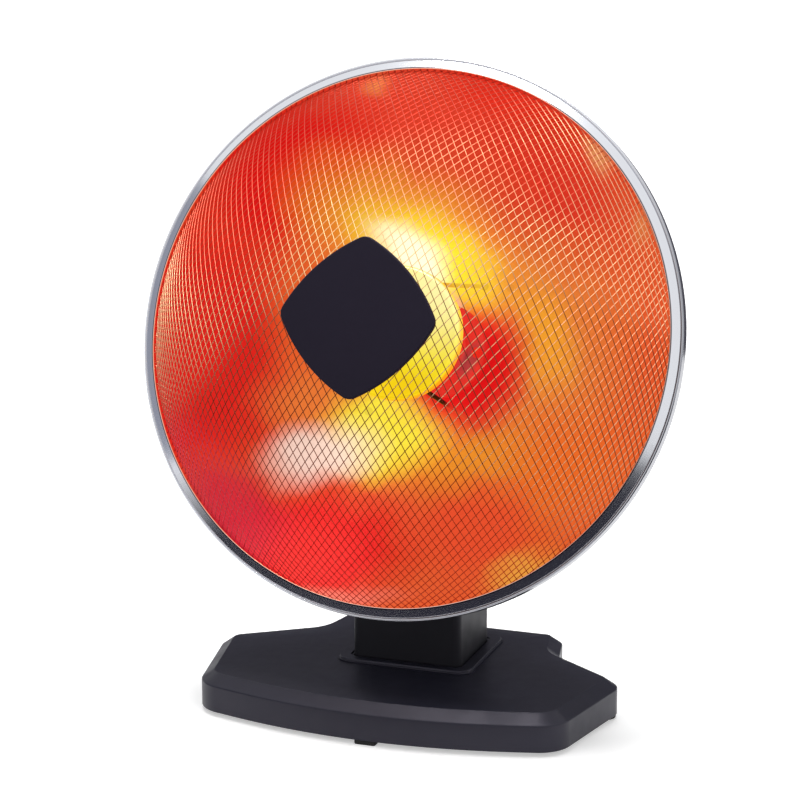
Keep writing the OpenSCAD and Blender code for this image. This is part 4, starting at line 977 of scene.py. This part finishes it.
def badge_outline(inset):
    """A square on its corner with bowed sides and round corners, drawn in: arcs about the corner middles
    and about the far side middles."""
    half, corner_r, side_r, steps = 52.0, 9.0, 110.0, 16
    corner_c = half - corner_r
    side_c = (math.sqrt(2 * (side_r - corner_r) ** 2 - corner_c**2) - corner_c) / 2
    split = math.atan2(side_c, corner_c + side_c)
    k = np.linspace(0, 1, steps, endpoint=False)
    a = -split + 2 * split * k
    b = split + (math.pi / 2 - 2 * split) * k
    corner = np.array([corner_c, 0]) + (corner_r - inset) * np.column_stack([np.cos(a), np.sin(a)])
    side = -np.array([side_c, side_c]) + (side_r - inset) * np.column_stack([np.cos(b), np.sin(b)])
    quarter = np.concatenate([corner, side])
    turns = [np.array([[c, -s], [s, c]]) for c, s in ((1, 0), (0, 1), (-1, 0), (0, -1))]
    return np.concatenate([quarter @ t.T for t in turns])


def build_badge():
    """Bare plate: its outline drawn in by an arc at the edge, then scaled to the middle as the height
    rises in a flat dome. A boss behind it reaches through the grille."""
    edge, dome = mm(sizes().badge_edge), mm(sizes().badge_dome)
    rim = [
        (edge * (1 - math.sin(a)), BADGE_FACE - dome - edge * (1 - math.cos(a)))
        for a in np.linspace(0, math.pi / 2, 7)[::-1]
    ]
    rings = [level(badge_outline(d), z) for d, z in [(0.5, BADGE_BACK), (0.0, BADGE_BACK + 0.5)] + rim]
    for share in np.linspace(0.9, 0.05, 10):
        rings.append(level(badge_outline(edge) * share, BADGE_FACE - dome * share**2))
    low, top, chamfer = 92.8, BADGE_BACK + 0.3, 0.2
    boss = [[0.05, low], [BOSS_R - chamfer, low], [BOSS_R, low + 0.4], [BOSS_R, top], [0.05, top]]
    satin = moulded_plastic("badge_satin_plate", colours().badge, 0.45, 0.0005, 0.00001, 0.1, 0.06)
    parts = [surface(np.stack(rings), False), lathe(boss, 48, False)]
    make("badge_bare", parts, "head", satin, ("badge_plate",))
    dress(zinc_steel(), "badge_clamp", "badge_screw")


def build_cap():
    """Cap: a spun lid whose closed profile rounds over into its skirt and rolls in at the rim. Legs: the CAD
    nodes themselves, in blackened steel."""
    under, low, inside = CAP_TOP - CAP_T, CAP_TOP - CAP_SKIRT, CAP_R - CAP_T
    rows = [
        (ROD_HOLE, CAP_TOP, 0.2), (CAP_R, CAP_TOP, 3.0), (CAP_R, low, 0.5),
        (inside, low, 0.5), (inside, under, 2.0), (ROD_HOLE, under, 0.2),
    ]
    make("cap_lid", [lathe(rounded(rows, 6), 160)], "head", glowing_cap(), ("deflector_cap",))
    dress(lit_metal("legs_blackened_steel", (46, 40, 38), -90, -88, True), "cap_posts")
    dress(zinc_steel(), "tie_rod")
    softened("tie_nuts_soft", "tie_nuts", "head", brass(), 0.0003)


def coil_path(count):
    """The coil's middle line, drawn on the unrolled former by its length: a stub, a quarter bend, the
    loops rising evenly, a bend back and a stub. Gives its points, their way out, and its length."""
    former, tube_r, loops, bend = 14.2, 1.6, 14, 4.0
    coil_r = former + SEAT_GAP + tube_r
    low, high, stub = HUB_STEP, COLLAR_Z, 2 * tube_r
    span = loops * 2 * math.pi * coil_r
    a = np.linspace(0, math.pi / 2 - math.atan((high - low - 2 * (stub + bend)) / span), 12)
    arc = np.column_stack([bend * (1 - np.cos(a)), bend * np.sin(a)])
    over, up = arc[-1]
    start, end = low + stub + up, high - stub - up
    loop = np.column_stack([over + span * np.linspace(0, 1, 500), np.linspace(start, end, 500)])
    total = 2 * over + span
    flat = np.concatenate([
        [[0, low], [0, low + stub / 2]], [0, low + stub] + arc[:-1], loop,
        ([total, high - stub] - arc[:-1])[::-1], [[total, high - stub / 2], [total, high]],
    ])
    run = np.concatenate([[0], np.cumsum(np.linalg.norm(np.diff(flat, axis=0), axis=1))])
    s = np.linspace(0, run[-1], count)
    u, z = np.interp(s, run, flat[:, 0]), np.interp(s, run, flat[:, 1])
    angle = u / coil_r
    out = np.column_stack([np.cos(angle), np.sin(angle), 0 * angle])
    return out * coil_r + np.column_stack([0 * u, 0 * u, z]), out, run[-1]


def build_element():
    """The resistance wire is a fine helix wound along the coil's middle line: centre + w (cos p out +
    sin p side), p growing with length. Hub: a stepped round block, its closed profile carried round."""
    turns = int(coil_path(2)[2] / mm(sizes().coil_pitch))
    path, out, _ = coil_path(turns * 9)
    phase = np.linspace(0, turns * 2 * np.pi, len(path))[:, None]
    spin = np.cos(phase) * out + np.sin(phase) * unit(np.cross(np.gradient(path, axis=0), out))
    wire = tube(path + mm(sizes().coil_winding) * spin, spin, mm(sizes().coil_wire), 4)
    hot = hot_coil()
    make("coil_wound_wire", [wire], "head", hot, ("heating_coil",), sharp=100, weighted=False)
    dress(fired_ceramic("former_lit_ceramic", linear((255, 120, 30)), 0.7), "ceramic_former")
    rows = [
        (ROD_HOLE, -SEAT_DEPTH, 0.3), (HUB_R, -SEAT_DEPTH, 0.8), (HUB_R, HUB_FRONT, 1.4),
        (HUB_NOSE_R, HUB_FRONT, 0.8), (HUB_NOSE_R, HUB_STEP, 1.0), (ROD_HOLE, HUB_STEP, 0.3),
    ]
    make("hub_block", [lathe(rounded(rows, 5), 96)], "head", lit_ceramic(), ("ceramic_hub",))
    dress(lit_metal("terminals_lit_brass", (110, 60, 36), -82, -78), "element_terminals")


# ---- Rear housing and controls ----


def build_housing():
    """Housing, cover and lamp: CAD copies with rounded edges, and screws with cross recesses."""
    edge = sizes().soft_edge
    softened("housing_soft", "rear_housing", "head", neck_black(), edge)
    softened("cover_soft", "back_cover", "head", neck_black(), edge * 0.8)
    bearings = [math.radians(a) for a in (45, 135, 225, 315)]
    places = [(COVER_SCREW_R * math.cos(a), COVER_SCREW_R * math.sin(a), -HOUSING_BACK) for a in bearings]
    screws("cover_screws_crossed", "cover_screws", (1.4, 3.0, 1.6, 11), places)
    dress(lit_metal("rivets_lit_steel", (70, 50, 44), -75.4, -74.6), "housing_rivets")
    softened("lamp_lens", "pilot_lamp", "head", lamp_lens(), 0.0002)
    dress(dull_steel(), "thermostat")
    dress(fired_ceramic("ceramic_fired"), "thermal_cutout")


def build_knob():
    """Knob: a profile carried round its axis whose radius is drawn in by flutes, on its grip: r less
    depth (0.5 + 0.5 cos(n a))^1.5. Ticks: blocks that grow round the dial."""
    face, h, r = KNOB_FACE, KNOB_H, KNOB_R
    rows = rounded([
        (0.05, face, 0), (r, face, 0.5), (r, face - 3, 0.8), (r - 3, face - 5, 1.5),
        (r - 4, face - h, 1.6), (0.05, face - h, 0),
    ], 6, False)
    low = np.linspace(face - 5.4, face - h + 1.8, 14)
    extra = np.column_stack([np.interp(low, [face - h, face - 5], [r - 4, r - 3]), low])
    split = int(np.argmax(rows[:, 1] < face - h + 1.75))
    rows = np.concatenate([rows[:split], extra[(extra[:, 1] < rows[split - 1, 1])], rows[split:]])
    radius, z = rows[:, :1], rows[:, 1:]
    a = np.linspace(0, 2 * np.pi, sizes().flutes * 10, endpoint=False)[None, :]
    grip = np.clip((face - 4.2 - z) / 1.5, 0, 1) * np.clip((z - (face - h + 0.3)) / 1.6, 0, 1)
    radius = radius - mm(sizes().flute) * (0.5 + 0.5 * np.cos(sizes().flutes * a)) ** 1.5 * grip
    points = np.stack([radius * np.cos(a), radius * np.sin(a) + KNOB_UP, z + 0 * a], -1)
    black = moulded_plastic("knob_black_plastic", linear((30, 30, 33)), 0.42, gloss=0.35)
    make("knob_fluted", [surface(points, False)], "knob", black, ("heat_knob",), sharp=40)
    mark = box_part((-1.2, 6 + KNOB_UP, face - h - 1.0), (1.2, 15.5 + KNOB_UP, face - h + 0.4), 0.35)
    make("knob_mark", [mark], "knob", white_paint())
    dress(zinc_steel(), "thermostat_shaft")
    ticks = []
    for share in np.arange(sizes().ticks + 1) / sizes().ticks:
        half, angle = 0.35 + 0.45 * share, -math.radians(DIAL_SWEEP * share)
        tick = box_part((-half, TICK_IN, -HOUSING_BACK - 0.14), (half, TICK_OUT, -HOUSING_BACK + 0.05), 0.06)
        c, s = math.cos(angle), math.sin(angle)
        ticks.append(place(tick, lambda p: p @ [[c, s, 0], [-s, c, 0], [0, 0, 1]] + [0, KNOB_UP, 0]))
    make("dial_ticks", ticks, "head", white_paint())


def build_rocker():
    """Rocker: CAD copy with rounded edges, and a raised bar and ring that lie on its two sloping
    halves."""
    red = moulded_plastic("rocker_red_plastic", colours().rocker, 0.28, gloss=0.5, scuff=0.15)
    softened("rocker_soft", "power_rocker", "rocker", red, 0.0004)
    softened("switch_bezel", "switch_body", "head", neck_black(), 0.0004)

    def on_rocker(p):
        """Drops a flat mark onto the sloping half that it lies over, then tips it with the rocker."""
        x, y, z = p[..., 0], p[..., 1], p[..., 2] - 4.4 - ROCKER_SLOPE * np.abs(p[..., 0])
        c, s = math.cos(ROCKER_SWING), math.sin(ROCKER_SWING)
        return from_dish(np.stack([x * c + z * s, y - ROCKER_DOWN, -x * s + z * c + ROCKER_PIVOT], -1))

    bar = box_part((-8.6, -2.6, -0.1), (-7.6, 2.6, 0.06), 0.05)
    k = np.linspace(0, 2 * np.pi, 8, endpoint=False)
    ring = lathe(np.column_stack([2.4 + 0.4 * np.cos(k), 0.09 * np.sin(k) - 0.02]), 40)
    make("rocker_marks", [bar, *moved([ring], (8, 0, 0))], "rocker", white_paint(), at=on_rocker)


# ---- Neck and hinge ----


def build_neck():
    """Neck: CAD copy with rounded edges. Collar: rounded rectangles carried up a closed profile of
    (growth, height)."""
    softened("neck_soft", "neck", "base", neck_black(), sizes().soft_edge)
    rows = [
        (0.6, 0.0), (19.8, 0.0), (20.0, 0.2), (20.0, 0.9), (19.7, 1.2), (18.3, 1.3), (18.0, 1.5), (17.9, 2.1),
        (17.3, 2.5), (4.9, 2.5), (4.3, 2.3), (4.0, 1.6), (3.6, 1.35), (1.1, 1.35), (0.6, 1.1),
    ]
    rings = [level(rounded_rectangle(NECK_W + g, NECK_D + g, 5 + g / 4, 8), CROWN_TOP + z) for g, z in rows]
    collar = surface(np.stack(rings))
    make("collar_rim", [collar], "base", case_black(), ("neck_collar",), from_neck)
    softened("bracket_soft", "tilt_bracket", "head", dull_steel(), 0.0004)
    softened("bolt_soft", "hinge_bolt", "base", zinc_steel(), 0.0005)
    softened("hinge_nut_soft", "hinge_nut", "base", zinc_steel(), 0.0004)
    dress(brass(), "friction_washers")
    seat = -SEAT_DEPTH - SHEET - SEAT_GAP - PAD_T
    screws("hub_screws_crossed", "hub_screws", (2.0, 3.8, 2.4, 9.5), [(x, y, seat) for x, y in HUB_SCREWS])


# ---- Base ----


def base_corners():
    """Corner points and roundings of the base, anticlockwise from the bow."""
    bow_r, angle, front, rear = 380.0, math.radians(15), 116.0, 73.0
    tip = -front - bow_r * (1 / math.cos(angle) - 1)
    half = [
        [128.0, tip + 128.0 * math.tan(angle), 24.0], [146.0, -6.0, 16.0],
        [90.0, rear - 39, 20.0], [82.0, rear, 12.0],
    ]
    return np.array([[0, tip, bow_r]] + half + [[-x, y, r] for x, y, r in half[::-1]])


def base_outline(inset):
    """The outline moved in: each side moves along its normal, each corner to where its sides meet, and
    its rounding by the same amount."""
    c = base_corners()
    xy = c[:, :2]
    before, after = np.roll(xy, 1, 0), np.roll(xy, -1, 0)
    u, v = unit(xy - before), unit(after - xy)
    a, b = np.column_stack([-u[:, 1], u[:, 0]]), np.column_stack([-v[:, 1], v[:, 0]])
    drawn_in = xy + (a + b) * inset / (1 + (a * b).sum(1))[:, None]
    side = np.sign(u[:, 0] * v[:, 1] - u[:, 1] * v[:, 0])
    return rounded(np.column_stack([drawn_in, np.maximum(1.5, c[:, 2] - side * inset)]), 14)


def build_base():
    """Cover: the outline carried up a closed profile of (inset, height), from the wall's foot over the
    bevel and the crown to the neck's opening and back down inside. The opening is each direction's reach
    to a rectangle."""
    e = mm(sizes().base_edge)
    wall = rounded([
        (SHELL, FOOT_H, 0), (0, FOOT_H, 0.7), (0, WALL_TOP, e), (BEVEL_IN, BEVEL_TOP, e),
        (20.0, BEVEL_TOP + 0.6, 0),
    ], 6, False)[:-1]
    t = np.linspace(0.16, 1, 9)
    crown = np.column_stack([BEVEL_IN + CROWN_IN * t, BEVEL_TOP + CROWN * np.sin(t * np.pi / 2)])
    inner, under = BEVEL_IN + SHELL, CROWN_TOP - SHELL
    inside = [
        (inner + CROWN_IN, under), (inner + 2, BEVEL_TOP - SHELL + 0.3), (inner, BEVEL_TOP - SHELL),
        (SHELL, WALL_TOP - SHELL / 2),
    ]
    rings = [level(base_outline(i), z) for i, z in np.concatenate([wall, crown])]
    last = rings[-1][:, :2]
    half = np.array([NECK_W, NECK_D]) / 2 + SEAT_GAP
    opening = last * (half / np.maximum(np.abs(last), 1e-9)).min(1, keepdims=True)
    rings += [level(opening, CROWN_TOP), level(opening, under)]
    rings += [level(base_outline(i), z) for i, z in inside]
    parts = [surface(np.stack(rings))]
    boss = lathe([[2.1, 5.8], [4.5, 5.8], [4.5, under + 0.3], [2.1, under + 0.3]], 32)
    for x, y in SHELL_SCREWS:
        parts += moved([boss], (x, y, 0))
    make("base_cover", parts, "base", case_black(), ("base_shell",), from_neck)


def build_underside():
    """Plate, ballast, feet, screws, plunger, spring, switch, inlet and terminal block."""
    rolled = linear((52, 52, 56))
    dress(worked_metal("plate_black_steel", rolled, 0.5, 0.0012, (1, 5, 1), 0.00004, 0.4), "base_plate")
    softened("ballast_cast", "ballast", "base", dark_iron(), 0.0008)
    rubber = moulded_rubber()
    for foot in ("foot_front", "foot_left", "foot_right", "foot_rear_left", "foot_rear_right"):
        softened(foot + "_soft", foot, "base", rubber, 0.0006)
    w, d = NECK_W / 2 - 3 - 4.3, NECK_D / 2 - 3 - 4.2
    at = [(x * w, y * d) for x in (-1, 1) for y in (-1, 1)] + SHELL_SCREWS + PLATE_SCREWS
    places = [(x, y, FOOT_H) for x, y in at]
    screws("base_screws_crossed", "base_screws", (2.0, 3.8, 2.2, 12), places, from_neck, "base")
    white = moulded_plastic("plunger_white_plastic", linear((222, 221, 214)), 0.4, scuff=0.1)
    softened("plunger_soft", "tip_plunger", "plunger", white, 0.0005)
    spring_r, wire_r, loops, low, high, across = 4.6, 0.5, 4, 13.0, 16.5, 52
    a = np.linspace(0, loops * 2 * np.pi, loops * 32 + 1)
    out = np.column_stack([np.cos(a), np.sin(a), 0 * a])
    path = out * spring_r + np.column_stack([0 * a, 0 * a + across, low + (high - low) * a / a[-1]])
    make(
        "plunger_spring_wire", [tube(path, out, wire_r, 10)], "base", zinc_steel(), ("plunger_spring",),
        from_neck, weighted=False, sharp=70,
    )
    black = moulded_plastic("switch_black_plastic", linear((34, 34, 37)), 0.45)
    softened("tip_switch_soft", "tip_switch", "base", black, 0.0004)
    softened("inlet_soft", "cord_inlet", "base", rubber, 0.0003)
    pale = moulded_plastic("block_pale_plastic", linear((224, 222, 210)), 0.5, scuff=0.1)
    softened("block_soft", "terminal_block", "base", pale, 0.0005)


# ---- Studio ----


def card(name, lo, hi, material):
    """A flat four-cornered piece of the stage between two opposite corners: from the first, one step is
    along the first axis in which they differ, and the other is what is left."""
    lo, hi = np.array(lo), np.array(hi)
    step = np.where(np.arange(3) == np.argmax(lo != hi), hi, lo)
    mesh = bpy.data.meshes.new(name)
    mesh.from_pydata([lo, step, hi, lo + hi - step], [], [(0, 1, 2, 3)])
    mesh.materials.append(material)
    flat = put(name, mesh)
    return flat


def turn_to(thing, at, way):
    """Puts a lamp or the camera at a place, turned along a way."""
    thing.location = at
    thing.rotation_mode = "QUATERNION"
    thing.rotation_quaternion = way.to_track_quat("-Z", "Y")


def build_stage():
    """A pale floor that turns white for the camera but keeps the shadow, flags that only reflections see,
    soft lamps, a white world, and the camera."""
    scene = bpy.context.scene
    for name, lo, hi, colour, fade in (
        ("floor_flag", (-1.0, -9, 0.0005), (9, -0.16, 0.0005), (0.034, 0.033, 0.045), (-1.1, -0.4)),
        ("rear_flag", (-1.5, 1.1, 0.001), (1.1, 1.1, 1.0), (0.14, 0.135, 0.165), None),
        ("left_flag", (-1.0, -1.2, 0.001), (-1.0, 0.25, 0.8), (0.36, 0.37, 0.43), None),
    ):
        flag = card(name, lo, hi, flag_cloth(name + "_cloth", colour, fade))
        flag.visible_shadow = flag.visible_camera = flag.visible_diffuse = False
    card("floor", (-12, -12, 0), (12, 12, 0), floor_paint())

    scene.world = bpy.data.worlds.new("studio")
    sky = Nodes(scene.world)
    strength = sky.ranged(sky.rays("Camera", "Transmission", "Glossy"), 0, 1, 0.45, 1.0)
    white = sky.node("Background", {"Color": (1, 1, 1), "Strength": strength})
    sky.node("OutputWorld", {"Surface": white.outputs[0]})

    for name, at, aim, size, power, glossy in (
        ("key_softbox", (-1.3, -2.2, 2.3), (0, 0, 0.2), 1.6, 8, False),
        ("top_softbox", (-0.1, 0.12, 2.4), (0, 0, 0.1), 1.1, 56, True),
        ("fill_softbox", (2.4, -1.2, 1.3), (0, 0, 0.2), 1.6, 4, False),
    ):
        lamp = bpy.data.lights.new(name, "AREA")
        lamp.shape = "DISK"
        lamp.size = size
        lamp.energy = power
        light = put(name, lamp)
        turn_to(light, at, Vector(aim) - Vector(at))
        light.visible_glossy = glossy

    scene.view_settings.view_transform = "Standard"
    lens = bpy.data.cameras.new("photo_view")
    lens.lens = 123.84
    lens.sensor_width = 36
    lens.clip_start, lens.clip_end = 0.05, 60
    aim, distance = Vector((-0.0157, 0.0146, 0.2069)), 1.88
    away = Vector((0.3240, -0.9150, 0.2402)).normalized()
    scene.camera = put("photo_view", lens)
    turn_to(scene.camera, aim + away * distance, -away)


def floor_paint():
    """Pale painted floor: diffuse, with the view of it lifted towards white, more so far away."""
    f = Finish("floor_pale_paint")
    paint = f.node("BsdfDiffuse", {"Color": (0.82, 0.82, 0.82)})
    lifted = f.times(f.rays("Camera", "Glossy"), f.ranged(f.size(f.place), 0.3, 3.0, 0.45, 0.9))
    lift = f.node("Emission", {"Strength": lifted})
    return f.shown(f.node("AddShader", {0: paint.outputs[0], 1: lift.outputs[0]}))


def flag_cloth(name, colour, fade):
    """Cloth hung or laid near the heater, seen in gloss alone: clear for every other ray, and fading out
    to its left between two places, if these are given."""
    f = Finish(name)
    cover = f.rays("Glossy")
    if fade:
        cover = f.times(f.ranged(f.axis(f.place, "X"), *fade, 0.0, 1.0), cover)
    clear, cloth = f.node("BsdfTransparent"), f.node("Emission", {"Color": colour})
    return f.shown(f.node("MixShader", {"Fac": cover, 1: clear.outputs[0], 2: cloth.outputs[0]}))


# ---- Operators, panel and registration ----


class HEATER_OT_stage(bpy.types.Operator):
    """Set up the floor, the studio light, the white backdrop and the camera"""

    bl_idname = "heater.stage"
    bl_label = "Studio"

    def execute(self, context):
        build_stage()
        return {"FINISHED"}


class HEATER_OT_reflector(bpy.types.Operator):
    """Build the parabolic dish with its lit front and its bare spun back"""

    bl_idname = "heater.reflector"
    bl_label = "Reflector"

    def execute(self, context):
        build_reflector()
        return {"FINISHED"}


class HEATER_OT_bezel(bpy.types.Operator):
    """Build the polished bezel with its groove and bead, and dress its clips"""

    bl_idname = "heater.bezel"
    bl_label = "Bezel"

    def execute(self, context):
        build_bezel()
        return {"FINISHED"}


class HEATER_OT_grille(bpy.types.Operator):
    """Weave the domed wire grille and its hoop"""

    bl_idname = "heater.grille"
    bl_label = "Grille"

    def execute(self, context):
        build_grille()
        return {"FINISHED"}


class HEATER_OT_badge(bpy.types.Operator):
    """Build the bare badge plate on the grille's crown, and dress its clamp and screw"""

    bl_idname = "heater.badge"
    bl_label = "Badge plate"

    def execute(self, context):
        build_badge()
        return {"FINISHED"}


class HEATER_OT_cap(bpy.types.Operator):
    """Build the deflector cap, its legs, the tie rod and its nuts"""

    bl_idname = "heater.cap"
    bl_label = "Deflector cap"

    def execute(self, context):
        build_cap()
        return {"FINISHED"}


class HEATER_OT_element(bpy.types.Operator):
    """Wind the resistance wire, and build the ceramic former, hub and terminals"""

    bl_idname = "heater.element"
    bl_label = "Heating element"

    def execute(self, context):
        build_element()
        return {"FINISHED"}


class HEATER_OT_housing(bpy.types.Operator):
    """Build the rear housing, its vented cover, screws, rivets and pilot lamp"""

    bl_idname = "heater.housing"
    bl_label = "Rear housing"

    def execute(self, context):
        build_housing()
        return {"FINISHED"}


class HEATER_OT_knob(bpy.types.Operator):
    """Build the fluted heat knob with its mark and the ticks round it"""

    bl_idname = "heater.knob"
    bl_label = "Heat knob"

    def execute(self, context):
        build_knob()
        return {"FINISHED"}


class HEATER_OT_rocker(bpy.types.Operator):
    """Build the power rocker with its marks, and its switch body"""

    bl_idname = "heater.rocker"
    bl_label = "Power rocker"

    def execute(self, context):
        build_rocker()
        return {"FINISHED"}


class HEATER_OT_neck(bpy.types.Operator):
    """Build the neck, its collar, and the hinge's bracket, bolt, nut, washers and screws"""

    bl_idname = "heater.neck"
    bl_label = "Neck and hinge"

    def execute(self, context):
        build_neck()
        return {"FINISHED"}


class HEATER_OT_base(bpy.types.Operator):
    """Build the base's bevelled cover"""

    bl_idname = "heater.base"
    bl_label = "Base cover"

    def execute(self, context):
        build_base()
        return {"FINISHED"}


class HEATER_OT_underside(bpy.types.Operator):
    """Build the plate, ballast, feet, screws, tip-over plunger, switch, inlet and terminal block"""

    bl_idname = "heater.underside"
    bl_label = "Underside"

    def execute(self, context):
        build_underside()
        return {"FINISHED"}


OPERATORS = (
    HEATER_OT_stage, HEATER_OT_base, HEATER_OT_underside, HEATER_OT_neck, HEATER_OT_reflector,
    HEATER_OT_bezel, HEATER_OT_element, HEATER_OT_cap, HEATER_OT_grille, HEATER_OT_badge,
    HEATER_OT_housing, HEATER_OT_knob, HEATER_OT_rocker,
)


class HEATER_PT_panel(bpy.types.Panel):
    """Sizes, colours and pieces of the heater"""

    bl_idname = "HEATER_PT_panel"
    bl_label = "Parabolic heater"
    bl_space_type = "VIEW_3D"
    bl_region_type = "UI"
    bl_category = "Heater"

    def draw(self, context):
        column = self.layout.column()
        for group in (context.scene.heater_sizes, context.scene.heater_colours):
            for name in group.__annotations__:
                column.prop(group, name)
        for operator in OPERATORS:
            column.operator(operator.bl_idname)


CLASSES = (HeaterSizes, HeaterColours) + OPERATORS + (HEATER_PT_panel,)


def register():
    """Makes the classes known, and gives the scene their sizes and colours."""
    for cls in CLASSES:
        bpy.utils.register_class(cls)
    bpy.types.Scene.heater_sizes = PointerProperty(type=HeaterSizes)
    bpy.types.Scene.heater_colours = PointerProperty(type=HeaterColours)


def unregister():
    """Takes away what register adds, in the opposite order."""
    del bpy.types.Scene.heater_colours
    del bpy.types.Scene.heater_sizes
    for cls in reversed(CLASSES):
        bpy.utils.unregister_class(cls)


def main():
    """Builds everything in order."""
    register()
    bpy.ops.heater.stage()
    bpy.ops.heater.base()
    bpy.ops.heater.underside()
    bpy.ops.heater.neck()
    bpy.ops.heater.reflector()
    bpy.ops.heater.bezel()
    bpy.ops.heater.element()
    bpy.ops.heater.cap()
    bpy.ops.heater.grille()
    bpy.ops.heater.badge()
    bpy.ops.heater.housing()
    bpy.ops.heater.knob()
    bpy.ops.heater.rocker()


if __name__ == "__main__":
    main()
